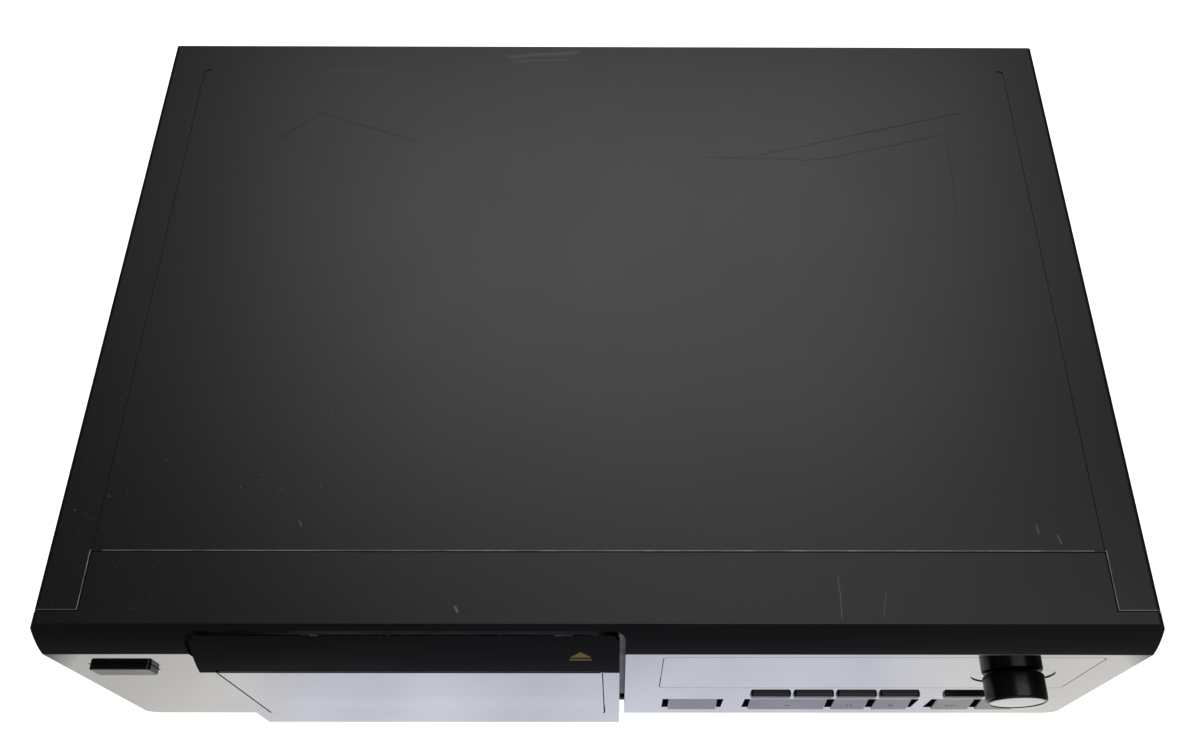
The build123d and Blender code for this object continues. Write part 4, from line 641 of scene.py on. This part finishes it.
FINISHES = {
    # high-impact ABS from a polished tool: black, and at a flat angle almost a mirror
    "polished ABS": (polished_plastic, {"colour": "#0A0A0B"}),
    # the same ABS where the tool is left plain: soft grey sheen, no mirror
    "plain ABS": (moulded_plastic, {"colour": "#141415", "lighter": "#191919", "roughness": 0.42}),
    # flat cap let into the dial: polished, very slightly brown
    "polished dial cap": (polished_plastic, {"colour": "#0B0B0C"}),
    # finely etched ABS: satin, the body of the dial
    "satin ABS": (
        moulded_plastic,
        {"colour": "#101012", "lighter": "#151517", "roughness": 0.24, "grain_mm": 0.35, "depth_mm": 0.002},
    ),
    # general purpose polystyrene, moulded black: dull, with visible flow
    "black polystyrene": (
        moulded_plastic,
        {"colour": "#17171A", "lighter": "#202023", "roughness": 0.48, "depth_mm": 0.014},
    ),
    # carousel plastic: a touch lighter and glossier than the deck, so its slots read apart
    "black ABS, fine etch": (
        moulded_plastic,
        {"colour": "#222226", "lighter": "#2A2A2E", "roughness": 0.36, "depth_mm": 0.008},
    ),
    # acetal copolymer, uncoloured: milky white gears that look slightly waxy
    "natural acetal": (
        moulded_plastic,
        {"colour": "#D6D2C4", "lighter": "#E0DCD0", "roughness": 0.36, "grain_mm": 0.6,
         "depth_mm": 0.005, "Subsurface_Weight": 0.15, "Subsurface_Scale": 0.002},
    ),
    # cold drawn and centreless ground steel: bright, with fine rings
    "ground steel": (grained_metal, {"colour": "#B0B2B5", "roughness": 0.22, "along": (1, 8, 1)}),
    # deep drawn steel can, nickel washed: soft grey
    "drawn steel": (grained_metal, {"colour": "#9C9EA1", "roughness": 0.34, "along": (1, 5, 1)}),
    # zinc plated pan and rear panel
    "zinc plated sheet": (zinc_plate, {}),
    # screws with black oxide: dark metal with a low gleam
    "black oxide steel": (grained_metal, {"colour": "#2B2B2F", "roughness": 0.34}),
    # nickel on brass: bright and faintly warm
    "nickel plated brass": (grained_metal, {"colour": "#C6C0B4", "roughness": 0.16}),
    # laminations of silicon steel under varnish: dark, with fine lines
    "varnished laminations": (
        grained_metal,
        {"colour": "#4A4541", "roughness": 0.45, "along": (1, 0.02, 1), "depth_mm": 0.03},
    ),
    "ground belt rubber": (moulded_rubber, {}),
    "foot pad rubber": (moulded_rubber, {"colour": "#1C1C1B"}),
    "phenolic board": (circuit_board, {}),
    "smoked acrylic": (smoked_acrylic, {}),
    # soda glass tube with a grey getter bloom behind it
    "tube glass": (
        polished_plastic,
        {"colour": "#27302E", "coat": 0.6},
    ),
    "tube glass end": (moulded_plastic, {"colour": "#8C9391", "lighter": "#A0A6A4", "roughness": 0.15}),
    # polyester tape over the coils: amber and slick
    "polyester tape": (moulded_plastic, {"colour": "#A9832B", "lighter": "#BC9438", "roughness": 0.24}),
    # shrink sleeve on the capacitors: dark blue and glossy
    "capacitor sleeve": (moulded_plastic, {"colour": "#12182E", "lighter": "#182140", "roughness": 0.2}),
    "capacitor top": (grained_metal, {"colour": "#A4A6A8", "roughness": 0.3}),
    "switch plastic": (moulded_plastic, {"colour": "#1B1B1B", "lighter": "#232323", "roughness": 0.5}),
    # insulators that tell the two channels apart
    "red polypropylene": (moulded_plastic, {"colour": "#A3201E", "lighter": "#B22A26", "roughness": 0.4}),
    "white polypropylene": (moulded_plastic, {"colour": "#D5D5D0", "lighter": "#E2E2DD", "roughness": 0.4}),
    "white screen ink": (
        moulded_plastic,
        {"colour": "#C9C9CB", "lighter": "#D6D6D8", "roughness": 0.5, "grain_mm": 0.3, "depth_mm": 0.002},
    ),
}


def finish(name):
    """The named finish, made the first time it is asked for."""
    if name not in bpy.data.materials:
        maker, settings = FINISHES[name]
        maker(name, **settings)
    return bpy.data.materials[name]


# ---------------------------------------------------------------- operators
class StudioOperator(bpy.types.Operator):
    """Floor, lights, world and camera"""

    bl_idname = "changer.studio"
    bl_label = "Studio"

    def execute(self, context):
        studio = context.scene.changer_studio
        context.scene.view_settings.view_transform = "Standard"
        self.floor(studio.sheet_margin)
        self.world(studio.fill)
        self.light("key_light", (0.5, -0.2, 1.8), (1.5, 1.0), studio.key_power)
        self.light("sheen_light", (0.03, 0.9, 1.62), (1.32, 0.85), studio.sheen_power)
        self.camera(studio.lens)
        return {"FINISHED"}

    def floor(self, margin):
        # The object stands on a pale sheet. Polished faces mirror the sheet beside the object and,
        # past its edge, the dim room. The camera sees the sheet go on for ever.
        deselect()
        bpy.ops.mesh.primitive_plane_add(size=14.0, location=(0.0, 0.0, 0.0))
        floor = bpy.context.object
        floor.name = "studio_floor"
        material, tree, where = bare_material("pale paper sheet", "#E8E8E8")
        # the paper isn't lit quite evenly: soft patches, cooler in the middle, dimmer at the left
        patches = drift(tree, where, 70.0, 0.94, 1.12, 1.5)
        across = add_node(tree, "SeparateXYZ", {"Vector": where}).outputs["X"]
        left = {"Value": across, "From Min": -0.24, "From Max": -0.13, "To Min": 0.72, "To Max": 1.0}
        patches = add_node(
            tree, "Math", {0: patches, 1: add_node(tree, "MapRange", left)}, operation="MULTIPLY"
        )
        aside = add_node(tree, "Math", {0: across}, operation="ABSOLUTE")
        cool = {"Value": aside, "From Min": 0.13, "From Max": 0.19, "To Min": 0.0, "To Max": 1.0}
        tint = add_node(
            tree,
            "Mix",
            {0: add_node(tree, "MapRange", cool), 6: linear("#EEF0FF"), 7: linear("#FBF8F4")},
            data_type="RGBA",
        )
        mirrored = add_node(tree, "VectorMath", {0: where}, operation="ABSOLUTE")
        past = add_node(tree, "VectorMath", {0: mirrored, 1: (0.215, 0.143, 0.0)}, operation="SUBTRACT")
        past = add_node(tree, "VectorMath", {0: past, 1: (0.0, 0.0, 0.0)}, operation="MAXIMUM")
        away = add_node(tree, "VectorMath", {0: past}, operation="LENGTH").outputs["Value"]
        ends = {"From Min": margin, "From Max": margin + 0.02, "To Min": 0.97, "To Max": 0.07}
        glow = add_node(tree, "MapRange", {"Value": away, **ends})
        glow = add_node(tree, "Math", {0: glow, 1: patches}, operation="MULTIPLY")
        path = add_node(tree, "LightPath")
        paper = add_node(tree, "BsdfDiffuse", {"Color": linear("#E8E8E8")})
        lift = add_node(tree, "Emission", {"Strength": 1.0})
        seen = add_node(tree, "AddShader", {0: paper, 1: lift})
        sheet = add_node(tree, "Emission", {"Color": tint.outputs[2], "Strength": glow})
        eye, clear = path.outputs["Is Camera Ray"], path.outputs["Is Transmission Ray"]
        direct = add_node(tree, "Math", {0: eye, 1: clear}, operation="MAXIMUM")
        plain = add_node(tree, "MixShader", {0: direct, 1: paper, 2: seen})
        whole = add_node(tree, "MixShader", {0: path.outputs["Is Glossy Ray"], 1: plain, 2: sheet})
        add_node(tree, "OutputMaterial", {"Surface": whole})
        floor.data.materials.append(material)

    def world(self, fill):
        world = bpy.data.worlds.new("studio world")
        bpy.context.scene.world = world
        world.use_nodes = True
        tree = world.node_tree
        tree.nodes.clear()
        path = add_node(tree, "LightPath")
        soft = add_node(tree, "Background", {"Color": linear("#F8FAFF"), "Strength": fill})
        white = add_node(tree, "Background", {"Color": linear("#FFFFFF"), "Strength": 1.0})
        where = add_node(tree, "TexCoord").outputs["Generated"]
        parts = add_node(tree, "SeparateXYZ", {"Vector": where})
        height = parts.outputs["Z"]
        ends = {"From Min": 0.0, "From Max": 0.8, "To Min": 0.03, "To Max": 0.07}
        ceiling = add_node(tree, "MapRange", {"Value": height, **ends})
        # a pale wall ahead of the object, which shows in its rounded front edges
        ends = {"From Min": -0.6, "From Max": -0.9, "To Min": 0.0, "To Max": 0.5}
        wall = add_node(tree, "MapRange", {"Value": parts.outputs["Y"], **ends})
        ceiling = add_node(tree, "Math", {0: ceiling, 1: wall}, operation="ADD")
        room = add_node(tree, "Background", {"Color": linear("#F6F8FF"), "Strength": ceiling})
        eye, clear = path.outputs["Is Camera Ray"], path.outputs["Is Transmission Ray"]
        direct = add_node(tree, "Math", {0: eye, 1: clear}, operation="MAXIMUM")
        plain = add_node(tree, "MixShader", {0: direct, 1: soft, 2: white})
        whole = add_node(tree, "MixShader", {0: path.outputs["Is Glossy Ray"], 1: plain, 2: room})
        add_node(tree, "OutputWorld", {"Surface": whole})

    def light(self, name, place, size, power):
        lamp = bpy.data.lights.new(name, "AREA")
        lamp.shape = "RECTANGLE"
        lamp.size, lamp.size_y = size
        lamp.energy = power
        holder = bpy.data.objects.new(name, lamp)
        bpy.context.scene.collection.objects.link(holder)
        holder.matrix_world = facing(place, Vector(place) - Vector((0, 0, 0.12)), (0, 1, 0))

    def camera(self, lens):
        # solved from the photograph: place in metres, then tilt, turn and roll in degrees
        place = Vector((0.00726, -0.24575, 0.61128))
        tilt, turn, roll = (math.radians(angle) for angle in (58.31, 0.41, 0.47))
        ahead = Vector((math.sin(turn) * math.cos(tilt), math.cos(turn) * math.cos(tilt), -math.sin(tilt)))
        right = Vector((math.cos(turn), -math.sin(turn), 0.0))
        up = right.cross(ahead)
        rolled_right = math.cos(roll) * right + math.sin(roll) * up
        rolled_up = -math.sin(roll) * right + math.cos(roll) * up
        data = bpy.data.cameras.new("photo_camera")
        data.sensor_fit = "HORIZONTAL"
        data.sensor_width = 36.0
        data.lens = lens
        # the middle of the lens lies at pixel (623, 230) of the 1200 x 751 picture
        data.shift_x = (600.0 - 623.0) / 1200.0
        data.shift_y = (230.0 - 375.5) / 1200.0
        data.clip_start = 0.01
        holder = bpy.data.objects.new("photo_camera", data)
        bpy.context.scene.collection.objects.link(holder)
        stand = Matrix((rolled_right, rolled_up, -ahead)).transposed().to_4x4()
        stand.translation = place
        holder.matrix_world = stand
        bpy.context.scene.camera = holder


class CoverOperator(bpy.types.Operator):
    """Sheet steel cover and all the screws"""

    bl_idname = "changer.cover"
    bl_label = "Cover and screws"

    def execute(self, context):
        finishes = context.scene.changer_finishes
        # baked alkyd enamel on folded steel: satin, so a lamp shows as one wide soft patch
        enamel = worn_finish(
            "baked enamel", finishes.cover_colour, "#121214", finishes.cover_roughness, 0.7, 0.010
        )
        # the rounded folded edges get a pale finish: partly enamel worn to the steel, partly a painted
        # highlight
        edge = worn_edge("enamel worn at the edges", finishes.cover_colour)

        def folded_edges(first, second):
            if min(first.z, second.z) < 141.8:
                return False
            notch = all(abs(p.y - 35.0) < 0.2 and abs(p.x) < 198.2 for p in (first, second))
            tabs = all(abs(abs(p.x) - 197.8) < 0.2 and p.y < 35.3 for p in (first, second))
            fronts = all(abs(p.y - 12.3) < 0.3 and abs(p.x) > 197.4 for p in (first, second))
            rear = all(abs(p.y - 290.2) < 0.2 for p in (first, second))
            return notch or tabs or fronts or rear

        merged_copy(
            "top_cover", "cover_sheet", (enamel, edge), edges=folded_edges, width_mm=0.35, worn=1,
        )
        oxide = finish("black oxide steel")
        pan = [(-6.0, 0.0), (-6.0, 1.1), (-5.4, 1.5), (0.0, 1.5), (0.0, 3.0), (0.5, 2.97)]
        pan += [(1.0, 2.75), (1.5, 2.2), (1.85, 1.3), (2.0, 0.0)]
        head = screw_with_cross("rear_screw", pan, 1.3)
        places = [(-190, 132.2), (0, 132.2), (190, 132.2), (-150, 9.5), (-20, 9.5), (100, 9.5)]
        turned = [self.copy(head, (x, 287.4, z), (0, 1, 0), n) for n, (x, z) in enumerate(places)]
        self.keep(turned, "rear_screws", oxide)
        bpy.data.objects.remove(head)
        flat = [(-6.0, 0.0), (-6.0, 1.1), (-5.4, 1.5), (-1.45, 1.5), (-0.15, 2.8), (-0.02, 2.8), (0.0, 0.0)]
        head = screw_with_cross("side_screw", flat, 1.2)
        places = [(side * 214.4, y, 9.0) for side in (-1, 1) for y in (60.3, 242.2)]
        turned = [self.copy(head, p, (math.copysign(1, p[0]), 0, 0), n) for n, p in enumerate(places)]
        self.keep(turned, "side_screws", oxide)
        bpy.data.objects.remove(head)
        return {"FINISHED"}

    def copy(self, head, place, axis, number):
        """A copy of the screw, driven at place, its cross turned a little differently each time."""
        spin = Matrix.Rotation(math.radians(17 + 41 * number), 4, "Z")
        return copy_of(head, f"{head.name}_{number}", facing(undrawn(place), axis, (0, 0, 1)) @ spin)

    def keep(self, screws, node, material):
        whole = join(screws)
        settle(whole, f"{node}_set", "cabinet", material)
        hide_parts(node)


class FasciaOperator(bpy.types.Operator):
    """Moulded front panel: polished face and band, etched flange"""

    bl_idname = "changer.fascia"
    bl_label = "Front panel"

    def execute(self, context):
        polished_plastic("polished fascia ABS", context.scene.changer_finishes.gloss_colour)
        # the flange in front of the cover is etched to match the cover's paint
        etched = worn_finish("etched ABS", "#0C0C0D", "#101012", 0.36, 0.45, 0.010)

        def zones(centre, normal):
            if centre.z > 140.8 and normal.z > 0.95 and centre.y > 7.4:
                return 1
            recess = -159.5 < centre.x < 11.5 and 0.4 < centre.y and centre.z < 138.3
            front = normal.y < -0.2 and centre.y < 7.7
            outer = abs(centre.x) > 207 and normal.x * centre.x > 0
            return 0 if (front and not recess) or outer or centre.z < 0.3 else 2

        def crease(first, second):
            return all(abs(p.y - 7.5) < 0.25 and abs(p.z - 141.3) < 0.15 for p in (first, second))

        materials = (bpy.data.materials["polished fascia ABS"], etched, finish("plain ABS"))
        merged_copy(
            "front_panel", "fascia_shell", materials, zones, crease, width_mm=1.0, worn=0,
        )
        return {"FINISHED"}


class DoorOperator(bpy.types.Operator):
    """Flip-down door, its window and its mark"""

    bl_idname = "changer.door"
    bl_label = "Door"

    def execute(self, context):
        finishes = context.scene.changer_finishes
        size = context.scene.changer_sizes.mark_size / MM
        gloss = bpy.data.materials["polished fascia ABS"]

        def zones(centre, normal):
            return 1 if normal.y > 0.4 or centre.y > 5.0 else 0

        def top_edge(first, second):
            return all(abs(p.z - 137.0) < 0.1 for p in (first, second)) and abs(first.x - second.x) > 0.5

        door = merged_copy(
            "front_door", "door_shell", (gloss, finish("plain ABS")), zones, top_edge, 0.6, 0,
        )

        def cut_edges(centre, normal):
            return 0 if abs(normal.y) > 0.5 else 1

        merged_copy(
            "door_window", "door_pane", (finish("smoked acrylic"), finish("plain ABS")), cut_edges,
        )
        # screen printed gold: a plain triangle over a bar shows where the door is pushed
        ink = moulded_plastic("gold screen ink", finishes.mark_colour, "#C6AE6E", 0.3, 0.3, 0.002)
        # on the door's curved band, lifted a little so that its flat outline clears the curve
        stand = seat_on(door, -7.0, 127.0, 0.00011)
        half = size / 2
        triangle = [(-half, -0.9), (half, -0.9), (0.0, 2.7)]
        bar = [(-half, -2.7), (half, -2.7), (half, -1.8), (-half, -1.8)]
        height = context.scene.changer_sizes.ink_height
        marks = [
            outline_piece("door_mark", outline, height, stand, "door", ink) for outline in (triangle, bar)
        ]
        join(marks)
        return {"FINISHED"}


class KeysOperator(bpy.types.Operator):
    """All keys, and the symbols on the large ones"""

    bl_idname = "changer.keys"
    bl_label = "Keys"

    def execute(self, context):
        sizes = context.scene.changer_sizes
        colour = context.scene.changer_finishes.key_colour
        # ABS with a fine etch: satin, so the slanted fronts show the floor as a soft gradient
        satin = moulded_plastic("key ABS", colour, "#303033", 0.33, 0.35, 0.004)
        # the large keys have a clear lacquer over their symbols, which makes them a shade paler
        lacquered = moulded_plastic(
            "lacquered key ABS", colour, "#303033", 0.3, 0.35, 0.004, Coat_Weight=0.55, Coat_Roughness=0.16
        )
        for node in KEY_NODES:
            low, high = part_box(node)
            large = high.z - low.z > LARGE_KEY_HEIGHT
            merged_copy(
                node, node.replace("_key", "_button"), (lacquered if large else satin,), edges="sharp",
                width_mm=0.22,
            )
        merged_copy(
            "power_key", "power_button", (finish("satin ABS"),), edges="sharp", width_mm=0.2,
        )
        ink = finish("white screen ink")
        half = sizes.key_symbol / MM / 2
        bar = [(-0.35, -half), (0.35, -half), (0.35, half), (-0.35, half)]
        right = [(-half * 0.8, -half), (half * 0.9, 0.0), (-half * 0.8, half)]
        left = [(half * 0.8, -half), (half * 0.8, half), (-half * 0.9, 0.0)]
        square = [(-half, -half * 0.8), (half, -half * 0.8), (half, half * 0.8), (-half, half * 0.8)]
        # each symbol is a row of outlines, each with its distance from the middle of the key
        symbols = {
            "play_key": [(right, 0.0)],
            "pause_key": [(bar, -0.8), (bar, 0.8)],
            "stop_key": [(square, 0.0)],
            "previous_key": [(bar, -2.4), (left, -0.9), (left, 1.2)],
            "next_key": [(right, -1.2), (right, 0.9), (bar, 2.4)],
        }
        # the keys' fronts lean from 1.2 mm proud at 15.15 mm to 1.0 mm sunk at 33.65 mm
        lean = Vector((0, -18.5, 2.2)).normalized()
        for node, row in symbols.items():
            low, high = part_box(node)
            height = 21.0
            middle = undrawn((0, -1.2 + 2.2 * (height - 15.15) / 18.5, height)) + lean * 0.00002
            middle.x = (low.x + high.x) / 2
            stand = facing(middle, lean, (0, 0, 1))
            printed = []
            for number, (outline, shift) in enumerate(row):
                points = [(x + shift, y) for x, y in outline]
                printed.append(
                    outline_piece(f"{node}_symbol_{number}", points, sizes.ink_height, stand, node, ink)
                )
            join(printed).name = f"{node}_symbol"
        return {"FINISHED"}


class DialOperator(bpy.types.Operator):
    """Dial with its polished cap, and the well it stands in"""

    bl_idname = "changer.dial"
    bl_label = "Dial"

    def execute(self, context):
        low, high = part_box("dial_knob")
        front = Vector(((low.x + high.x) / 2, low.y, (low.z + high.z) / 2))
        deep = (high.y - low.y) / MM
        wide = (high.x - low.x) / 2 / MM
        skirt = [(0.3, 0.0), (0.3, wide - 1.5), (0.08, wide - 1.35), (0.0, wide - 1.1)]
        skirt += [(0.05, wide - 0.7), (0.3, wide - 0.3), (0.75, wide - 0.06), (1.3, wide)]
        skirt += [(deep - 1.1, wide), (deep - 0.6, wide - 0.1), (deep - 0.2, wide - 0.4)]
        skirt += [(deep, wide - 0.9), (deep, 0.0)]
        knob = spun("dial_body", skirt, front, (0, 1, 0), 128)
        settle(knob, "dial_body", "dial", finish("satin ABS"))
        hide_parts("dial_knob")
        # the cap is let into the front, very slightly crowned, with a fine groove round it
        crown = [(0.10, 0.0), (0.105, 3.0), (0.12, 6.0), (0.16, wide - 3.0), (0.2, wide - 1.9)]
        crown += [(0.26, wide - 1.7), (0.5, wide - 1.65), (0.5, 0.0)]
        cap = spun("dial_cap", crown, front, (0, 1, 0), 128)
        settle(cap, "dial_cap", "dial", finish("polished dial cap"))
        merged_copy("dial_bezel", "dial_well", (finish("polished dial cap"),))
        paint(("encoder_shaft",), finish("ground steel"))
        paint(("dial_encoder",), finish("drawn steel"))
        return {"FINISHED"}


class DisplayOperator(bpy.types.Operator):
    """Display pane, tube, boards and switches"""

    bl_idname = "changer.display"
    bl_label = "Display"

    def execute(self, context):
        def zones(centre, normal):
            from_dial = math.hypot(centre.x - 171.0, centre.z - 86.4)
            return 1 if abs(normal.y) < 0.5 and from_dial < 17.6 else 0

        merged_copy(
            "display_window", "display_pane", (finish("smoked acrylic"), finish("plain ABS")), zones,
        )
        merged_copy("display_tube", "display_glass", (finish("tube glass"),), edges="sharp", width_mm=0.5)
        self.segments()
        paint(("display_board", "main_board"), finish("phenolic board"))
        paint(("key_switches", "power_switch"), finish("switch plastic"))
        return {"FINISHED"}

    def segments(self):
        """Unlit figures behind the glass: eight places of seven bars each."""
        bars = []
        grey = finish("tube glass end")
        length, width, slant = 5.2, 1.0, 0.12
        flat = [(-length / 2, 0), (-length / 2 + width / 2, width / 2), (length / 2 - width / 2, width / 2)]
        flat += [(length / 2, 0), (length / 2 - width / 2, -width / 2), (-length / 2 + width / 2, -width / 2)]
        upright = [(y, x) for x, y in reversed(flat)]
        places = [(flat, 0, 6.0), (flat, 0, 0.0), (flat, 0, -6.0)]
        places += [(upright, x, z) for x in (-3.0, 3.0) for z in (-3.0, 3.0)]
        stand = facing(undrawn((93.25, 8.0, 88.0)), (0, -1, 0), (0, 0, 1))
        for column in range(8):
            middle = (column - 3.5) * 12.4
            for outline, x, z in places:
                points = [(middle + px + x + slant * (pz + z), pz + z) for px, pz in outline]
                bars.append(outline_piece("display_bars", points, 0.00003, stand, "cabinet", grey))
        join(bars)


class WorksOperator(bpy.types.Operator):
    """Carousel, player and their drives"""

    bl_idname = "changer.works"
    bl_label = "Mechanism"

    def execute(self, context):
        paint(
            ("mechanism_deck", "player_frame", "pickup_sled", "clamp_arm", "door_damper", "door_catch",
             "motor_pulley"),
            finish("black polystyrene"),
        )
        paint(("carousel", "disc_dividers"), finish("black ABS, fine etch"))
        paint(
            ("damper_gear", "drive_gear", "feed_gear", "loading_gear", "loading_arm", "clamp_puck",
             "turntable"),
            finish("natural acetal"),
        )
        paint(("carousel_axles", "guide_rods"), finish("ground steel"))
        paint(("small_motors", "spindle_motor"), finish("drawn steel"))
        paint(("carousel_belt",), finish("ground belt rubber"))
        self.numbers()
        return {"FINISHED"}

    def numbers(self):
        """Slot numbers on top of every fifth divider."""
        printed = []
        ink = finish("white screen ink")
        for number in (1, *range(5, 55, 5)):
            bearing = math.radians(-90 + (number - 0.5) * 360 / 51)
            outward = Vector((math.cos(bearing), math.sin(bearing), 0))
            place = undrawn((-74.0 + 126.0 * outward.x, 146.0 + 126.0 * outward.y, 53.02))
            deselect()
            bpy.ops.object.text_add()
            text = bpy.context.object
            text.data.body = str(number)
            text.data.size = 0.0052
            text.data.align_x = "CENTER"
            text.data.align_y = "CENTER"
            text.data.resolution_u = 3
            bpy.ops.object.convert(target="MESH")
            text = bpy.context.object
            text.matrix_world = facing(place, (0, 0, 1), -outward)
            printed.append(text)
        settle(join(printed), "slot_numbers", "carousel", ink)


class PowerOperator(bpy.types.Operator):
    """Transformer and smoothing capacitors"""

    bl_idname = "changer.power_supply"
    bl_label = "Power supply"

    def execute(self, context):
        paint(("transformer_core",), finish("varnished laminations"))
        paint(("transformer_winding",), finish("polyester tape"))

        def zones(centre, normal):
            return 1 if normal.z > 0.9 else 0

        merged_copy(
            "board_capacitors", "capacitor_cans", (finish("capacitor sleeve"), finish("capacitor top")),
            zones, edges="sharp", width_mm=0.5,
        )
        return {"FINISHED"}


class RearOperator(bpy.types.Operator):
    """Rear panel, sockets and the gland for the lead"""

    bl_idname = "changer.rear"
    bl_label = "Rear"

    def execute(self, context):
        paint(("rear_panel",), finish("zinc plated sheet"))
        black, nickel = finish("black polystyrene"), finish("nickel plated brass")

        def phono_zones(centre, normal):
            near = min(math.hypot(centre.x - x, centre.z - 112.0) for x in (168.0, 184.0))
            return 1 if near < 4.3 and centre.y > 287.6 else 0

        merged_copy("phono_sockets", "phono_shells", (black, nickel), phono_zones)

        def control_zones(centre, normal):
            near = min(math.hypot(centre.x - x, centre.z - 112.0) for x in (112.0, 126.0))
            return 1 if near < 4.1 and centre.y > 287.6 and normal.y > -0.5 else 0

        merged_copy("control_sockets", "control_shells", (black, nickel), control_zones)
        collar = [(0.0, 4.25), (0.0, 6.3), (0.5, 6.3), (0.8, 6.0), (0.8, 4.25)]
        lining = [(-0.6, 1.7), (-0.6, 3.35), (0.03, 3.35), (0.03, 1.7)]
        for name, x in (("white", 168.0), ("red", 184.0)):
            plastic = finish(f"{name} polypropylene")
            rings = [
                spun(f"{name}_collar", collar, undrawn((x, 287.4, 112.0)), (0, 1, 0), 48),
                spun(f"{name}_lining", lining, undrawn((x, 297.0, 112.0)), (0, 1, 0), 48),
            ]
            settle(join(rings), f"{name}_insulator", "cabinet", plastic)
        merged_copy("optical_socket", "optical_shell", (black,), edges="sharp", width_mm=0.3)
        merged_copy("cord_gland", "lead_gland", (black,), edges="sharp", width_mm=0.5)
        return {"FINISHED"}


class BaseOperator(bpy.types.Operator):
    """Chassis pan and feet"""

    bl_idname = "changer.base"
    bl_label = "Base"

    def execute(self, context):
        paint(("chassis",), finish("zinc plated sheet"))
        skirt = [(-2.6, 6.4), (-7.3, 6.4), (-7.3, 8.2), (-6.9, 8.6), (-6.9, 16.2), (-7.4, 16.6)]
        skirt += [(-7.5, 17.4), (-7.0, 18.2), (-6.0, 18.6), (-1.5, 19.0), (0.4, 18.9), (0.8, 18.4)]
        skirt += [(0.8, 0.0), (-2.6, 0.0)]
        pad = [(-7.95, 8.9), (-7.95, 15.9), (-7.6, 16.15), (-6.8, 16.15), (-6.8, 8.65), (-7.6, 8.65)]
        feet, pads = [], []
        for x in (-165.0, 165.0):
            for y in (45.0, 242.4):
                feet.append(spun("foot", skirt, undrawn((x, y, 0)), (0, 0, 1), 72))
                pads.append(spun("pad", pad, undrawn((x, y, 0)), (0, 0, 1), 72))
        whole = join(feet)
        settle(whole, "foot_mouldings", "cabinet", finish("black polystyrene"))
        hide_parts("feet")
        settle(join(pads), "foot_pads", "cabinet", finish("foot pad rubber"))
        return {"FINISHED"}


class ChangerPanel(bpy.types.Panel):
    """Lists the changer's pieces and settings"""

    bl_idname = "VIEW3D_PT_changer"
    bl_label = "Disc changer"
    bl_space_type = "VIEW_3D"
    bl_region_type = "UI"
    bl_category = "Disc changer"

    def draw(self, context):
        for group in ("changer_finishes", "changer_sizes", "changer_studio"):
            settings = getattr(context.scene, group)
            box = self.layout.box()
            for name in settings.__annotations__:
                box.prop(settings, name)
        for operator in OPERATORS:
            self.layout.operator(operator.bl_idname)


OPERATORS = (
    StudioOperator,
    CoverOperator,
    FasciaOperator,
    DoorOperator,
    KeysOperator,
    DialOperator,
    DisplayOperator,
    WorksOperator,
    PowerOperator,
    RearOperator,
    BaseOperator,
)
CLASSES = (ChangerFinishes, ChangerSizes, ChangerStudio, *OPERATORS, ChangerPanel)


def register():
    for cls in CLASSES:
        bpy.utils.register_class(cls)
    bpy.types.Scene.changer_finishes = bpy.props.PointerProperty(type=ChangerFinishes)
    bpy.types.Scene.changer_sizes = bpy.props.PointerProperty(type=ChangerSizes)
    bpy.types.Scene.changer_studio = bpy.props.PointerProperty(type=ChangerStudio)


def unregister():
    del bpy.types.Scene.changer_finishes
    del bpy.types.Scene.changer_sizes
    del bpy.types.Scene.changer_studio
    for cls in reversed(CLASSES):
        bpy.utils.unregister_class(cls)


def main():
    register()
    bpy.ops.changer.studio()
    bpy.ops.changer.cover()
    bpy.ops.changer.fascia()
    bpy.ops.changer.door()
    bpy.ops.changer.keys()
    bpy.ops.changer.dial()
    bpy.ops.changer.display()
    bpy.ops.changer.works()
    bpy.ops.changer.power_supply()
    bpy.ops.changer.rear()
    bpy.ops.changer.base()


if __name__ == "__main__":
    main()
